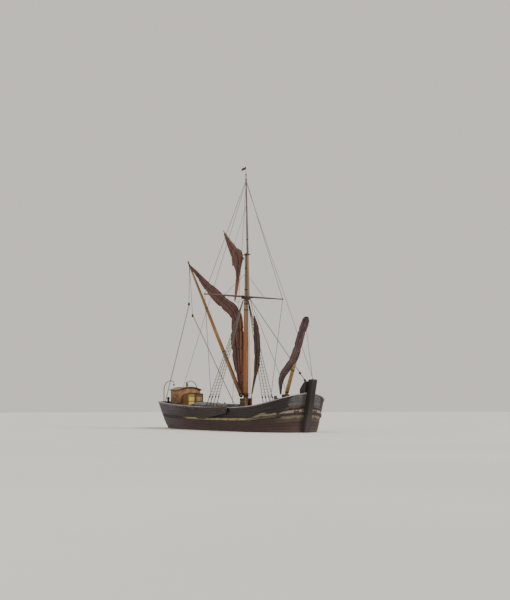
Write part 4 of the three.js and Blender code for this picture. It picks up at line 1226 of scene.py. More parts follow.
# ---- hatches, horse and deck gear ----------------------------------------------------------
def hatch_cloth(name, samples, sag):
    """A tarpaulin on a hatch: laid over the boards, and hanging a hand's breadth down the sides."""
    low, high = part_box(f"{name}_cover")
    half = high.y
    drop = 0.16
    length = high.x - low.x
    steps_x, steps_y = max(24, int(length / 0.09)), 34
    rows = []
    for i in range(-2, steps_x + 3):
        x = low.x + length * min(max(i / steps_x, 0),
                                 1) + (-0.012 if i < 0 else 0.012 if i > steps_x else 0)
        ends = max(-i, i - steps_x, 0)
        base = deck_height(x) + 0.43 + 0.062
        row = []
        for j in range(-3, steps_y + 4):
            share = min(max(j / steps_y, 0), 1) * 2 - 1
            hang = max(-j, j - steps_y, 0)
            camber = (0.19 if name == "main_hatch" else 0.08) * (1 - share * share)
            ripple = noise.noise(Vector((x * 1.9, share * half * 1.9, samples))) * 0.018
            boards = -sag * abs(math.sin(math.pi * x / 0.62)) ** 3
            z = base + camber + ripple + boards
            y = share * half
            if hang:
                y += math.copysign(0.012 + 0.012 * noise.noise(Vector((x * 6, hang, samples))),
                                   share)
                z -= drop * hang / 3
            if ends:
                z -= drop * ends / 2
            row.append(Vector((x, y, max(z, base - 0.21))))
        rows.append(row)
    cloth = fit(f"{name}_tarpaulin", skin_over(rows), TARPAULIN,
                stands_for=(f"{name}_cover",))
    parts, wedges = [], []
    for side in (-1, 1):
        line = [Vector((low.x + length * i / 20, side * (half + 0.03),
                        deck_height(low.x + length * i / 20) + 0.39))
                for i in range(21)]
        parts.append(strip(line, 0.06, 0.012))
        for i in range(int(length / 0.7)):
            x = low.x + 0.35 + i * 0.7
            z = deck_height(x) + 0.39
            wedges.append(board((0.14, 0.035, 0.05), (x, side * (half + 0.05), z)))
            parts.append(board((0.03, 0.09, 0.12), (x + 0.08, side * (half - 0.005), z - 0.01)))
    fit(f"{name}_battens", joined(parts), IRON, eased=0.003)
    fit(f"{name}_wedges", joined(wedges), TRIM_WOOD, eased=0.005)


def crab_winch(x, side, name):
    """A small iron hand winch on the deck."""
    z = deck_height(x)
    y = side * 1.95
    parts = []
    for dx in (-0.22, 0.22):
        parts.append(board((0.03, 0.3, 0.06), (x + dx, y, z + 0.03)))
        parts.append(board((0.03, 0.1, 0.48), (x + dx, y, z + 0.27)))
        parts.append(turned([(0, 0.09), (0.03, 0.09)], (x + dx - 0.015, y, z + 0.5),
                            (x + 1, y, z + 0.5), 20))
    parts.append(turned([(0, 0.1), (0.03, 0.1), (0.04, 0.06), (0.18, 0.05), (0.32, 0.06),
                         (0.33, 0.1), (0.36, 0.1)],
                        (x - 0.18, y, z + 0.42), (x + 1, y, z + 0.42), 20))
    parts.append(turned([(0, 0.15), (0.012, 0.16), (0.03, 0.16), (0.04, 0.15)],
                        (x + 0.24, y, z + 0.42),
                        (x + 1, y, z + 0.42), 28))
    parts.append(run_along([(x - 0.3, y, z + 0.42), (x + 0.34, y, z + 0.42)], 0.018, 8))
    fit(name, joined(parts), IRON, eased=0.004)


def chain(points, size):
    """Studless chain: links along points, each turned square to the last."""
    points = [Vector(p) for p in points]
    lengths = [0.0]
    for a, b in zip(points, points[1:]):
        lengths.append(lengths[-1] + (b - a).length)
    links, pitch, i = [], size * 3.0, 0
    for n in range(int(lengths[-1] / pitch)):
        d = (n + 0.5) * pitch
        while lengths[i + 1] < d:
            i += 1
        share = (d - lengths[i]) / (lengths[i + 1] - lengths[i])
        at = points[i].lerp(points[i + 1], share)
        along = (points[i + 1] - points[i]).normalized()
        turn = along.to_track_quat("X", "Z") @ Quaternion((1, 0, 0), math.pi / 2 * (n % 2) + 0.3)
        ring = []
        for s in range(12):
            a = 2 * math.pi * s / 12
            ring.append(at + turn @ Vector((math.cos(a) * size * 2.0, math.sin(a) * size * 1.25,
                                            0)))
        links.append(run_along(ring, size * 0.5, 5, closed=True))
    return joined(links)


def add_deck_gear():
    for name, sag in (("main_hatch", 0.012), ("fore_hatch", 0.006)):
        keep(f"{name}_coaming", COAMING_WOOD, 0.008)
        hatch_cloth(name, 3 if name == "main_hatch" else 5, sag)
    keep("main_horse", OAK_ACROSS, 0.008)
    low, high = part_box("main_horse")
    x, z = (low.x + high.x) / 2, high.z - 0.085
    parts = [band((x, y, z), (0, 1, 0), 0.086, 0.06, 0.01) for y in (-2.2, -1.7, 1.7, 2.2)]
    parts.append(hoop((x, 0.1, z), (0, 1, 0), 0.11, 0.018))
    fit("main_horse_iron", joined(parts), IRON)
    fit("main_sheet_block", pulley((x, 0.1, z + 0.24), 0.24), OAK_MARKED)

    keep("mast_case", OAK_CASE, 0.015)
    low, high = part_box("mast_case")
    straps = []
    for z in (1.75, 2.15, 2.5):
        for side in (-1, 1):
            straps.append(board((0.86, 0.014, 0.07), (MAST_X, side * 0.348, z)))
        straps.append(board((0.014, 0.7, 0.07), (1.323, 0, z)))
    fit("mast_case_straps", joined(straps), IRON, eased=0.004)
    winch = [turned([(0, 0.16), (0.03, 0.17), (0.04, 0.09), (0.2, 0.08), (0.36, 0.09),
                     (0.37, 0.17), (0.4, 0.16)],
                    (MAST_X - 0.62, -0.2, 2.0), (MAST_X - 0.62, 1, 2.0), 24)]
    winch += [board((0.14, 0.05, 0.62), (MAST_X - 0.6, y, 1.77)) for y in (-0.26, 0.26)]
    winch.append(run_along([(MAST_X - 0.62, -0.42, 2.0), (MAST_X - 0.62, 0.42, 2.0)], 0.022, 8))
    fit("brail_winch", joined(winch), IRON, eased=0.005)

    for name, side in SIDES:
        crab_winch(0.9, side, f"crab_winch_{name}")
        crab_winch(-7.0, side, f"after_winch_{name}")

    keep("windlass_bitts", OAK_ACROSS, 0.02)
    keep("bowsprit_bitts", OAK_UP, 0.018)
    axle = Vector((7.9, 0, 2.1358))
    waist = 0.718
    profile = []
    for y, r in ((-waist, 0.062), (-waist, 0.185), (-0.42, 0.155), (-0.1, 0.15), (-0.08, 0.2),
                 (0.08, 0.2),
                 (0.1, 0.15), (0.42, 0.155), (waist, 0.185), (waist, 0.062)):
        profile.append((y + 1.0, r))
    barrel = turned(profile, axle - Vector((0, 1.0, 0)), axle, 8)
    ends = [turned([(0, 0.05), (0.01, 0.062), (0.26, 0.062)], axle + Vector((0, side * 0.968, 0)),
                   axle, 16)
            for side in (-1, 1)]
    whelps = []
    for side in (-1, 1):
        for i in range(6):
            a = 2 * math.pi * (i + 0.5) / 6
            turn = Matrix.Rotation(-a, 3, "Y")
            whelps.append(board((0.05, 0.34, 0.03), axle + turn @ Vector((0, side * 0.28, 0.165)),
                                turn))
    fit("windlass_drum", joined([barrel] + whelps), COAMING_WOOD, "windlass",
        ("windlass_barrel",), eased=0.01)
    iron = ends + [band(axle + Vector((0, y, 0)), (0, 1, 0), 0.16, 0.04, 0.012) for y in (-0.46, 0.46)]
    teeth = []
    for i in range(16):
        a = 2 * math.pi * i / 16
        turn = Matrix.Rotation(-a, 3, "Y")
        teeth.append(board((0.035, 0.15, 0.03), axle + turn @ Vector((0, 0, 0.2)), turn))
    fit("windlass_iron", joined(iron + teeth), IRON, "windlass", eased=0.004)
    coil = []
    for i in range(90):
        a = 2 * math.pi * i / 26
        coil.append(axle + Vector((math.sin(a) * 0.21, -0.36 + 0.0022 * i, math.cos(a) * 0.21)))
    fit("windlass_chain", chain(coil, 0.02), IRON, "windlass")
    lead = [(8.1, -0.3, 2.1), (8.6, -0.32, 1.92), (9.2, -0.6, 1.84), (9.8, -0.85, 1.95),
            (10.3, -0.95, 2.12)]
    fit("anchor_chain_lead", chain(lead, 0.022), IRON)

    posts, coils = [], []
    for x, y, high in ((-10.88, 1.15, 2.85), (-10.88, -1.15, 2.85), (9.3, 1.75, 2.72),
                       (9.3, -1.75, 2.72)):
        low = deck_height(x) - 0.02
        posts.append(board((0.16, 0.16, high - low), (x, y, (low + high) / 2)))
        posts.append(run_along([(x, y - 0.24, high - 0.16), (x, y + 0.24, high - 0.16)], 0.024, 8))
        for turn in range(4):
            coils.append(hoop((x, y, low + 0.26 + 0.05 * turn), (0, 0, 1), 0.125, 0.026, 6, 16))
    fit("mooring_posts", joined(posts), OAK_MARKED, eased=0.012)
    fit("mooring_turns", joined(coils), HEMP)


add_deck_gear()


# ---- leeboards -----------------------------------------------------------------------------
def add_leeboards():
    for name, side in SIDES:
        node, body = f"leeboard_{name}", f"leeboard_{name}"
        keep(node, OAK_ALONG, 0.012)
        face = side * 2.998
        straps = []
        for x, low, high in ((2.4, -0.3, 0.16), (0.9, -0.47, 0.13), (-0.55, -0.6, 0.11)):
            z = 1.65 + (low + high) / 2
            straps.append(board((0.085, 0.014, high - low - 0.06), (x, face, z)))
        straps.append(board((0.5, 0.014, 0.3), (3.55, face, 1.65)))
        straps.append(board((3.9, 0.012, 0.06), (1.75, face, 1.72)))
        fit(f"leeboard_iron_{name}", joined(straps), IRON, body, eased=0.004)
        tail = Vector((-1.42, side * 3.02, 1.72))
        eye = hoop(tail, (0, 1, 0), 0.05, 0.014)
        fit(f"leeboard_eye_{name}", eye, IRON, body)
        lead = planking_at(k_of(-6.9), rail_height(-6.9) + 0.06, side, -0.02)
        rope = run_along([lead.lerp(tail, i / 24) for i in range(25)], 0.014, 6)
        stretch_across(f"leeboard_pennant_{name}", rope, HEMP, body, lead, tail)
        fit(f"leeboard_lead_{name}", pulley(lead + Vector((0, 0, 0.03)), 0.2, (1, 0, 0)),
            OAK_MARKED)


add_leeboards()


# ---- mast and spars ------------------------------------------------------------------------
def spaced(profile, length, step=0.35):
    """A spar's profile of (share, radius) with more rings along it."""
    rows = []
    for (a, ra), (b, rb) in zip(profile, profile[1:]):
        count = max(1, int((b - a) * length / step))
        for i in range(count):
            s = i / count
            rows.append((between_values(a, b, s) * length, between_values(ra, rb, s)))
    rows.append((profile[-1][0] * length, profile[-1][1]))
    return rows


def add_mast():
    foot, head = 1.4715, 14.7
    profile = [(0, 0.21), (0.35, 0.205), (0.6, 0.185), (0.7, 0.165), (0.74, 0.135), (0.98, 0.105),
               (1, 0.06)]
    mast = turned(spaced(profile, head - foot), (MAST_X, 0, foot), (MAST_X, 0, head), 32)
    fit("mainmast_spar", mast, MAST_WOOD, stands_for=("mainmast",))
    iron = [band((MAST_X, 0, z), (0, 0, 1), r, 0.09, 0.012) for z, r in
            ((2.75, 0.208), (9.9, 0.18), (10.4, 0.172), (11.6, 0.136), (13.4, 0.118))]
    fit("mainmast_bands", joined(iron), IRON)

    low = Vector((2.17, 0, 10.7))
    top = Vector((1.72, 0, 21.3))
    line = top - low
    profile = [(0, 0.1), (0.4, 0.092), (0.7, 0.07), (0.95, 0.052), (0.965, 0.044), (1, 0.042)]
    fit("topmast_spar", turned(spaced(profile, line.length), low, top, 24), TOPMAST_WOOD,
        stands_for=("topmast",))
    iron = [band(low + line * s, line, r, 0.07, 0.01) for s,
            r in ((0.02, 0.098), (0.48, 0.088), (0.93, 0.053))]
    fit("topmast_bands", joined(iron), IRON)
    keep("mast_cap", IRON, 0.01)
    keep("trestle", OAK_ALONG, 0.015)

    tree = turned(spaced([(0, 0.035), (0.004, 0.055), (0.35, 0.08), (0.65, 0.08), (0.996, 0.055),
                          (1, 0.035)], 7.6),
                  (1.5, -3.8, 11.046), (1.5, 3.8, 11.046), 16)
    fit("crosstree_spar", tree, TREE_WOOD, stands_for=("crosstree",))
    lash = [band((1.5, y, 11.046), (0, 1, 0), 0.056, 0.05, 0.01, 16) for y in (-3.7, 3.7)]
    lash += [hoop((1.5, y, 11.02), (0, 1, 0), 0.1, 0.016, squash=1.2) for y in (-0.2, -0.15, 0.15, 0.2)]
    fit("crosstree_lashing", joined(lash), HEMP)

    # Vane: a spindle with a ball, and bunting laced to a light frame.
    low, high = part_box("masthead_vane")
    x = 1.72
    pole = turned([(0, 0.02), (0.03, 0.05), (0.06, 0.072), (0.09, 0.074), (0.12, 0.06),
                   (0.15, 0.03), (0.17, 0.016),
                   (0.79, 0.011), (0.798, 0.004)], (x, 0, low.z), (x, 0, high.z), 20)
    fly = [run_along([(x, 0, z), (x - 0.77, 0, z)], 0.009) for z in (21.87, 22.07)]
    fly.append(run_along([(x - 0.77, 0, 21.87), (x - 0.77, 0, 22.07)], 0.009))
    fit("vane_spindle", joined([pole] + fly), TRIM_WOOD, "vane", ("masthead_vane",))
    rows = []
    for i in range(25):
        s = i / 24
        rows.append([Vector((x - 0.02 - 0.74 * s, 0.02 * math.sin(s * 9) * s,
                             21.876 + 0.188 * j / 6)) for j in range(7)])
    bunting = fit("vane_bunting", skin_over(rows), JIB_CANVAS, "vane")


add_mast()

SPRIT_HEEL, SPRIT_PEAK = Vector((1.69, -0.4, 2.76)), Vector((-8.5, -0.4, 15.35))


def add_sprit():
    line = SPRIT_PEAK - SPRIT_HEEL
    profile = [(0, 0.13), (0.004, 0.15), (0.12, 0.165), (0.5, 0.15), (0.75, 0.118), (0.93, 0.085),
               (0.995, 0.064),
               (1, 0.05)]
    spar = turned(spaced(profile, line.length), SPRIT_HEEL, SPRIT_PEAK, 28)
    fit("sprit_spar", spar, SPAR_WOOD, "sprit_and_mainsail", ("sprit",))
    iron = [band(SPRIT_HEEL + line * s, line, r, 0.08, 0.012) for s, r in
            ((0.012, 0.153), (0.3, 0.157), (0.62, 0.137), (0.955, 0.08), (0.985, 0.068))]
    fit("sprit_bands", joined(iron), IRON, "sprit_and_mainsail")
    # The muzzle: an iron collar round the mast which carries the sprit's heel.
    muzzle = [hoop((MAST_X, 0, z), (0, 0, 1), 0.262, 0.028, 8) for z in (2.86, 2.98)]
    muzzle.append(hoop((1.66, -0.4, 2.92), line, 0.2, 0.026, 8))
    fit("sprit_muzzle", joined(muzzle), IRON, "sprit_and_mainsail")
    turns = [hoop(SPRIT_HEEL + line * (0.955 + 0.0035 * i), line, 0.088, 0.014) for i in range(5)]
    fit("peak_strops", joined(turns), HEMP, "sprit_and_mainsail")


add_sprit()


# ---- sails ---------------------------------------------------------------------------------
def smooth_row(rows, t):
    """A row of numbers read from a list of rows, by a smooth curve through them."""
    place = t * (len(rows) - 1)
    i = min(int(place), len(rows) - 2)
    s = place - i
    a, b, c, d = (rows[min(max(i + k, 0), len(rows) - 1)] for k in (-1, 0, 1, 2))
    return [
        0.5 * (2 * q + (r - p) * s + (2 * p - 5 * q + 4 * r - u) * s**2 + (3 * q - p - 3 * r + u) * s**3)
        for p, q, r, u in zip(a, b, c, d)
    ]


def bundled(rows, pleats, rings, seed, brails=(), depth=0.42):
    """A sail gathered along a line: one sheet in soft lengthwise pleats, open along one edge.
    A row is x, y, z, then half its size across the barge and half its size fore and aft."""
    chance = random.Random(seed)
    widths = [chance.uniform(0.55, 1.45) for _ in range(pleats)]
    fulls = [chance.uniform(0.86, 1.07) for _ in range(pleats)]
    starts = [sum(widths[:i]) / sum(widths) for i in range(pleats + 1)]
    steps = 8
    grid, folds = [], []
    for i in range(rings + 1):
        t = i / rings
        x, y, z, across, deep = smooth_row(rows, t)
        before, after = smooth_row(rows, max(0, t - 0.01)), smooth_row(rows, min(1, t + 0.01))
        along = (Vector(after[:3]) - Vector(before[:3])).normalized()
        in_plane = Vector((0, 1, 0)).cross(along).normalized()
        tight = 1.0
        for at, width in brails:
            tight -= 0.17 * math.exp(-(((t - at) / width) ** 2))
        edges = [
            start + 0.38 / pleats * noise.noise(Vector((p * 1.7 + seed, t * 3.6, 4)))
            for p, start in enumerate(starts)
        ]
        row = []
        for p in range(pleats):
            full = fulls[p] + 0.16 * noise.noise(Vector((p * 2.3 + seed, t * 5, 9)))
            cut = depth * (0.7 + 0.9 * abs(noise.noise(Vector((p * 3.1, t * 4, seed)))))
            last = p == pleats - 1
            for q in range(steps + last):
                s = q / steps
                around = 2 * math.pi * (between_values(edges[p], edges[p + 1], s) + 0.3)
                lobe = math.sin(math.pi * s) ** 0.45 if 0 < s < 1 else 0.0
                size = tight * full * (1 - cut * (1 - lobe))
                size *= 1 + 0.05 * noise.noise(Vector((around * 1.2, t * 11, seed)))
                if last and q == steps:
                    size *= 0.9
                row.append(
                    Vector((x, y, z))
                    + in_plane * deep * size * math.sin(around)
                    + Vector((0, 1, 0)) * across * size * math.cos(around)
                )
                folds.append(lobe)
        grid.append(row)
    return skin_over(grid, folds=folds)


def sail_rope(rows, t, grow=1.03, thick=0.016):
    """A brail or a gasket passed round a gathered sail at one place."""
    x, y, z, across, deep = smooth_row(rows, t)
    before, after = smooth_row(rows, max(0, t - 0.01)), smooth_row(rows, min(1, t + 0.01))
    along = (Vector(after[:3]) - Vector(before[:3])).normalized()
    in_plane = Vector((0, 1, 0)).cross(along).normalized()
    points = []
    for j in range(26):
        a = 2 * math.pi * j / 26
        points.append(Vector((x, y, z)) + in_plane * deep * 0.82 * grow * math.sin(a)
                      + Vector((0, 1, 0)) * across * 0.82 * grow * math.cos(a))
    return run_along(points, thick, 6, closed=True)


MAINSAIL = [
    (1.05, 0.06, 2.86, 0.08, 0.10),
    (0.80, 0.06, 4.05, 0.18, 0.46),
    (0.50, 0.06, 5.6, 0.26, 0.86),
    (0.30, 0.06, 7.0, 0.30, 1.06),
    (0.20, 0.06, 8.2, 0.28, 1.10),
    (0.16, 0.03, 9.25, 0.25, 0.92),
    (-0.50, 0.0, 10.1, 0.27, 0.68),
    (-1.75, 0.0, 10.72, 0.31, 0.60),
    (-3.4, -0.06, 11.65, 0.31, 0.58),
    (-5.15, -0.12, 12.7, 0.27, 0.42),
    (-6.65, -0.2, 13.8, 0.17, 0.27),
    (-8.0, -0.31, 14.78, 0.06, 0.10),
]
TOPSAIL = [
    (-2.12, 0.0, 16.98, 0.06, 0.08),
    (-1.25, 0.0, 16.0, 0.17, 0.36),
    (-0.32, 0.0, 15.05, 0.23, 0.66),
    (0.28, 0.0, 14.4, 0.26, 0.95),
    (0.36, 0.0, 13.85, 0.22, 0.66),
    (0.36, 0.0, 13.2, 0.15, 0.34),
    (0.28, 0.0, 12.4, 0.13, 0.26),
    (0.08, 0.0, 11.7, 0.11, 0.20),
    (-0.10, 0.0, 11.1, 0.08, 0.13),
    (-0.18, 0.0, 10.78, 0.04, 0.05),
]
FORESAIL = [
    (2.79, 0.16, 9.34, 0.05, 0.06),
    (3.15, 0.16, 8.3, 0.17, 0.31),
    (3.33, 0.16, 6.8, 0.22, 0.40),
    (3.23, 0.16, 5.2, 0.17, 0.31),
    (2.9, 0.16, 4.2, 0.105, 0.155),
    (2.45, 0.16, 2.97, 0.055, 0.065),
]
STEEVE = math.radians(63)
BOWSPRIT_Y = -0.64
BOWSPRIT_RUN = Vector((math.cos(STEEVE), 0, math.sin(STEEVE)))
BOWSPRIT_AFT = Vector((-math.sin(STEEVE), 0, math.cos(STEEVE)))
BOWSPRIT_HEEL = Vector((8.95, BOWSPRIT_Y, 2.64)) - BOWSPRIT_RUN * 0.16
BOWSPRIT_LENGTH = 6.6


def jib_row(share, off, across, deep, outboard):
    p = BOWSPRIT_HEEL + BOWSPRIT_RUN * share * BOWSPRIT_LENGTH + BOWSPRIT_AFT * off
    return (p.x, BOWSPRIT_Y - outboard, p.z, across, deep)


JIB = [
    jib_row(0.03, 0.34, 0.05, 0.07, 0.27),
    jib_row(0.09, 0.52, 0.09, 0.15, 0.28),
    jib_row(0.17, 0.74, 0.14, 0.29, 0.27),
    jib_row(0.26, 0.70, 0.18, 0.36, 0.24),
    jib_row(0.37, 0.38, 0.20, 0.34, 0.18),
    jib_row(0.50, 0.10, 0.24, 0.36, 0.10),
    jib_row(0.62, 0.02, 0.26, 0.36, 0.06),
    jib_row(0.76, 0.05, 0.24, 0.33, 0.04),
    jib_row(0.86, 0.04, 0.26, 0.33, 0.02),
    jib_row(0.93, 0.0, 0.27, 0.33, 0.01),
    jib_row(0.98, -0.03, 0.22, 0.25, 0.01),
    jib_row(1.01, -0.04, 0.14, 0.14, 0.0),
]


def add_sails():
    brails = ((0.13, 0.012), (0.25, 0.012), (0.37, 0.012), (0.5, 0.016), (0.66, 0.01), (0.8, 0.01),
              (0.9, 0.01))
    main = fit("mainsail_cloth", bundled(MAINSAIL, 11, 130, 11, brails), CANVAS,
               "sprit_and_mainsail",
               ("mainsail",))
    ropes = [sail_rope(MAINSAIL, t) for t, _ in brails]
    fit("mainsail_brails", joined(ropes), HEMP, "sprit_and_mainsail")

    top = fit("topsail_cloth", bundled(TOPSAIL, 9, 70, 23, ((0.22, 0.02), (0.62, 0.02)), 0.38),
              TOPSAIL_CANVAS,
              stands_for=("topsail",))
    tack, peak = Vector((1.42, 0, 14.2)), Vector((-2.3, 0, 17.25))
    stick = turned(spaced([(0, 0.04), (0.006, 0.05), (0.5, 0.048), (0.994, 0.038), (1, 0.03)],
                          (peak - tack).length),
                   tack, peak, 16)
    fit("topsail_stick", stick, SPAR_WOOD)
    ropes = [sail_rope(TOPSAIL, t, 1.02, 0.013) for t in (0.2, 0.42, 0.62)]
    ropes += [hoop(tack.lerp(peak, s), peak - tack, 0.058, 0.01) for s in (0.25, 0.4, 0.55, 0.7, 0.85)]
    fit("topsail_lashing", joined(ropes), HEMP)

    fore = fit("foresail_cloth", bundled(FORESAIL, 9, 64, 31,
                                         ((0.25, 0.02), (0.5, 0.02), (0.75, 0.02)), 0.42),
                                         FORE_CANVAS,
               stands_for=("foresail",))
    ropes = [sail_rope(FORESAIL, t, 1.02, 0.013) for t in (0.25, 0.5, 0.75)]
    ropes.append(run_along([(2.79, 0.16, 9.3), (2.41, 0.02, 10.74)], 0.012))
    ropes.append(run_along([(2.5, 0.16, 3.15), (2.3, 0.2, 2.5), (2.12, 0.3, 1.9)], 0.03))
    fit("foresail_gear", joined(ropes), HEMP)

    jib = fit("jib_cloth", bundled(JIB, 9, 70, 47,
                                   ((0.42, 0.014), (0.56, 0.014), (0.7, 0.014), (0.84, 0.014)),
                                   0.36),
              JIB_CANVAS, "bowsprit_and_jib", ("jib",))


def add_bowsprit():
    profile = [(0, 0.09), (0.006, 0.11), (0.05, 0.125), (0.1, 0.15), (0.6, 0.135), (0.96, 0.09),
               (1, 0.06)]
    tip = BOWSPRIT_HEEL + BOWSPRIT_RUN * BOWSPRIT_LENGTH
    spar = turned(spaced(profile, BOWSPRIT_LENGTH), BOWSPRIT_HEEL, tip, 28)
    fit("bowsprit_spar", spar, BOWSPRIT_WOOD, "bowsprit_and_jib", ("bowsprit",))
    iron = [band(BOWSPRIT_HEEL + BOWSPRIT_RUN * d, BOWSPRIT_RUN, r, 0.08, 0.012) for d, r in
            ((0.6, 0.142), (2.4, 0.142), (6.2, 0.094), (6.5, 0.078))]
    fit("bowsprit_bands", joined(iron), IRON, "bowsprit_and_jib")
    ties = []
    for t in (0.36, 0.47, 0.56, 0.66, 0.76, 0.85):
        row = smooth_row(JIB, t)
        centre = Vector(row[:3])
        on_spar = BOWSPRIT_HEEL + BOWSPRIT_RUN * ((centre - BOWSPRIT_HEEL).dot(BOWSPRIT_RUN))
        middle = centre.lerp(on_spar, 0.5)
        reach = (centre - on_spar).length / 2
        points = []
        for j in range(24):
            a = 2 * math.pi * j / 24
            round_both = BOWSPRIT_AFT * math.cos(a) * (reach + 0.17)
            points.append(middle + round_both + Vector((0, 1, 0)) * math.sin(a) * 0.19)
        ties.append(run_along(points, 0.013, 6, closed=True))
    fit("jib_gaskets", joined(ties), HEMP, "bowsprit_and_jib")
    guy = Vector((11.66, 0, 3.88)), tip - BOWSPRIT_RUN * 0.3
    rope = run_along([guy[0].lerp(guy[1], i / 20) for i in range(21)], 0.015)
    stretch_across("bowsprit_guy", rope, HEMP, "bowsprit_and_jib", *guy)
    pin = turned([(0, 0.03), (0.01, 0.036), (0.47, 0.036), (0.48, 0.03)], (8.95, -0.88, 2.64),
                 (8.95, 0, 2.64), 14)
    fit("bowsprit_heel_pin", pin, IRON)


add_bowsprit()
add_sails()


# ---- rigging -------------------------------------------------------------------------------
HOUNDS = 10.73
COLLAR, COLLAR_RADIUS = Vector((1.75, 0, 10.72)), 0.2  # the rope collar round the mast
FALL_FOOT = 2.45  # where the halyards' falls are made fast on the mast case
SHROUD_FEET = (1.74, 1.15, 0.55, -0.04)
SHROUD_HEADS = (1.74, 1.715, 1.69, 1.66)


def deadeye(at, along):
    """A round hardwood block with three holes for its lanyard."""
    along = Vector(along).normalized()
    out = along.cross(Vector((1, 0, 0))).normalized()
    return turned([(0, 0.06), (0.012, 0.085), (0.022, 0.09), (0.03, 0.083), (0.038, 0.09),
                   (0.048, 0.085), (0.06, 0.06)],
                  Vector(at) - out * 0.03, Vector(at) + out, 18)


def add_shrouds():
    for name, side in SIDES:
        wires, eyes, lanyards, plates, steps = [], [], [], [], []
        lines = []
        for foot_x, head_x in zip(SHROUD_FEET, SHROUD_HEADS):
            head = Vector((head_x, side * 0.24, HOUNDS))
            foot = Vector((foot_x, side * 2.75, 1.93))
            line = (head - foot).normalized()
            upper, lower = foot + line * 0.85, foot + line * 0.14
            wires.append(run_along([upper + line * 0.08, head], 0.026, 8))
            wires.append(hoop(upper, line.cross(Vector((1, 0, 0))), 0.095, 0.018))
            eyes += [deadeye(upper, line), deadeye(lower, line)]
            for shift in (-0.045, 0.0, 0.045):
                offset = Vector((shift, 0, 0))
                lanyards.append(run_along([lower + offset, upper + offset], 0.01))
            k = k_of(foot_x)
            top = planking_at(k, 1.84, side, 0.052)
            low = planking_at(k, 1.02, side, 0.012)
            mid = planking_at(k, 1.75, side, 0.014)
            plates.append(strip([lower, top, mid, low], 0.055, 0.014, (1, 0, 0)))
            lines.append((foot, head))
        (fore_foot, fore_head), (aft_foot, aft_head) = lines[0], lines[-1]
        past = Vector((0.15, 0, 0))  # the pole runs out beyond the end shrouds
        pole = fore_foot.lerp(fore_head, 0.112) + past, aft_foot.lerp(aft_head, 0.112) - past
        plates.append(run_along(pole, 0.014))
        for i in range(27):
            s = 0.14 + 0.029 * i
            a, b = fore_foot.lerp(fore_head, s), aft_foot.lerp(aft_head, s)
            points = []
            for j in range(7):
                q = j / 6
                points.append(a.lerp(b, q) - Vector((0, 0, 0.03 * 4 * q * (1 - q))))
            steps.append(run_along(points, 0.013))
        stands_for = (f"shroud_fore_{name}", f"shroud_aft_{name}")
        fit(f"shroud_wires_{name}", joined(wires), WIRE, stands_for=stands_for)
        fit(f"deadeyes_{name}", joined(eyes), OAK_MARKED)
        fit(f"lanyards_{name}", joined(lanyards), HEMP)
        fit(f"chainplates_{name}", joined(plates), IRON)
        fit(f"ratlines_{name}", joined(steps), HEMP)


def add_stays():
    head, foot = Vector((2.40, 0, 10.77)), Vector((10.84, 0, 3.67))
    wire = run_along([head, foot], 0.029, 8)
    collar = hoop(COLLAR, (0, 0, 1), COLLAR_RADIUS, 0.026)
    strop = run_along([(1.93, 0, 10.72), head], 0.024)
    fit("forestay_wire", joined([wire, collar, strop]), WIRE,
        stands_for=("forestay",))
    blocks = [pulley(foot + (head - foot).normalized() * d, 0.26, head - foot) for d in (0.28, 1.15)]
    fit("forestay_blocks", joined(blocks), OAK_MARKED)

    truck = Vector((1.73, 0, 20.95))
    lines = []
    for _, side in SIDES:
        end = Vector((1.5, side * 3.72, 11.075))
        chain_foot = planking_at(k_of(0.95), 1.93, side, -0.05)
        lines.append(run_along([truck, end], 0.019))
        lines.append(run_along([end - Vector((0, 0, 0.08)), chain_foot], 0.02))
        backstay_foot = planking_at(k_of(-5.6), 2.02, side, -0.05)
        lines.append(run_along([Vector((1.74, 0, 20.8)), backstay_foot], 0.016))
        lines.append(run_along([(1.75, side * 0.13, 12.84), (1.5, side * 1.9, 11.1)], 0.015))
    lines.append(run_along([Vector((1.8, 0, 20.6)), Vector((11.6, 0.08, 3.9))], 0.015))
    lines.append(run_along([Vector((2.38, 0.0, 10.75)), Vector((8.95, -0.4, 2.7))], 0.017))
    collar = [hoop(truck + Vector((0, 0, 0.02 * i)), (0, 0, 1), 0.062, 0.014) for i in (-2, 0, 2)]
    fit("topmast_rigging", joined(lines + collar), HEMP)

    gear = []
    # Each fall runs from the collar to the mast case, clear of the sprit's muzzle as it swings.
    falls = ((139, (1.52, 0.27)), (50, (2.0, 0.33)), (12, (2.16, 0.12)), (-8, (2.16, -0.08)))
    for turn, (x, y) in falls:
        a = math.radians(turn)
        out, over = COLLAR_RADIUS * math.cos(a), COLLAR_RADIUS * math.sin(a)
        head = Vector((COLLAR.x + out, over, COLLAR.z))
        gear.append(run_along([head, (x, y, FALL_FOOT)], 0.011))
    gear.append(run_along([(-0.35, 0, 15.65), (1.9, 0, 18.9)], 0.012))
    gear.append(run_along([(-0.18, 0.0, 10.8), (1.62, 0.1, 10.55)], 0.010))
    fit("halyards", joined(gear), HEMP)


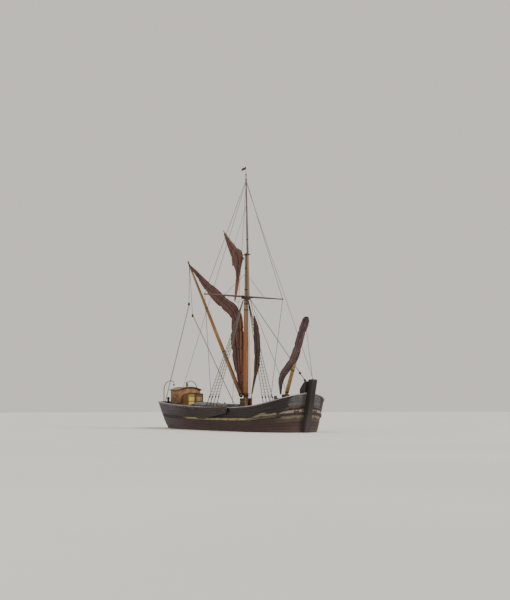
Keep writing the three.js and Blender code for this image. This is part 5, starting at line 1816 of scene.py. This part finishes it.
def add_vangs():
    peak = SPRIT_PEAK + (SPRIT_HEEL - SPRIT_PEAK).normalized() * 0.5
    leads = (("starboard", -1, -9.2, (-7.6, -0.7, 11.25)), ("port", 1, -5.1, (-8.45, 0.1, 10.3)))
    for name, side, foot_x, knot in leads:
        foot = planking_at(k_of(foot_x), rail_height(foot_x), side, -0.1)
        knot = Vector(knot)
        down = [knot.lerp(foot, i / 20) for i in range(21)]
        points = [peak.lerp(knot, i / 8) for i in range(9)] + down[1:]
        second = [p + Vector((0.07 * (1 - i / 20), 0.04, 0)) for i, p in enumerate(down)]
        lines = [run_along(points, 0.019), run_along(second, 0.015)]
        stretch_across(f"vang_{name}", joined(lines), HEMP, "sprit_and_mainsail", foot, peak)
        block = built(f"vang_block_{name}", pulley(knot, 0.3), OAK_MARKED)
        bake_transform(block)


add_shrouds()
add_stays()
add_vangs()


# ---- ground and light ----------------------------------------------------------------------
def add_ground():
    mesh = bpy.data.meshes.new("pale_floor")
    far = 400.0
    below = -0.003  # just under her flat bottom
    corners = [(x * far, y * far, below) for x, y in ((-1, -1), (1, -1), (1, 1), (-1, 1))]
    mesh.from_pydata(corners, [], [(0, 1, 2, 3)])
    floor = bpy.data.objects.new("pale_floor", mesh)
    bpy.context.scene.collection.objects.link(floor)
    material, tree = started("pale_plaster_floor")
    place = place_on(tree, "x")
    cloud = blotches(tree, place, (0.08, 0.08, 0.08), 3.0)
    colour = coats(tree, srgb("#d4d3cb"), (times(tree, cloud, 0.4), "#c9c8bf"))
    finished(tree, colour, 0.9, cloud, 0.002)
    mesh.materials.append(material)


def add_light():
    world = bpy.data.worlds.new("soft daylight")
    bpy.context.scene.world = world
    world.use_nodes = True
    world.node_tree.nodes.clear()
    sky = add(world.node_tree, "Background", {"Color": srgb("#e8e2d8"), "Strength": 0.95})
    add(world.node_tree, "OutputWorld", {0: sky.outputs[0]})
    lamps = (("key", 112, 40, 3.0, 14), ("fill", 15, 30, 0.55, 50))
    for name, azimuth, height, power, spread in lamps:
        data = bpy.data.lights.new(name, "SUN")
        data.energy, data.angle = power, math.radians(spread)
        lamp = bpy.data.objects.new(name, data)
        bpy.context.scene.collection.objects.link(lamp)
        a, e = math.radians(azimuth), math.radians(height)
        back = Vector((math.sin(a) * math.cos(e), -math.cos(a) * math.cos(e), math.sin(e)))
        lamp.rotation_mode = "QUATERNION"
        lamp.rotation_quaternion = back.to_track_quat("Z", "Y")


add_ground()
add_light()

bpy.context.view_layer.update()
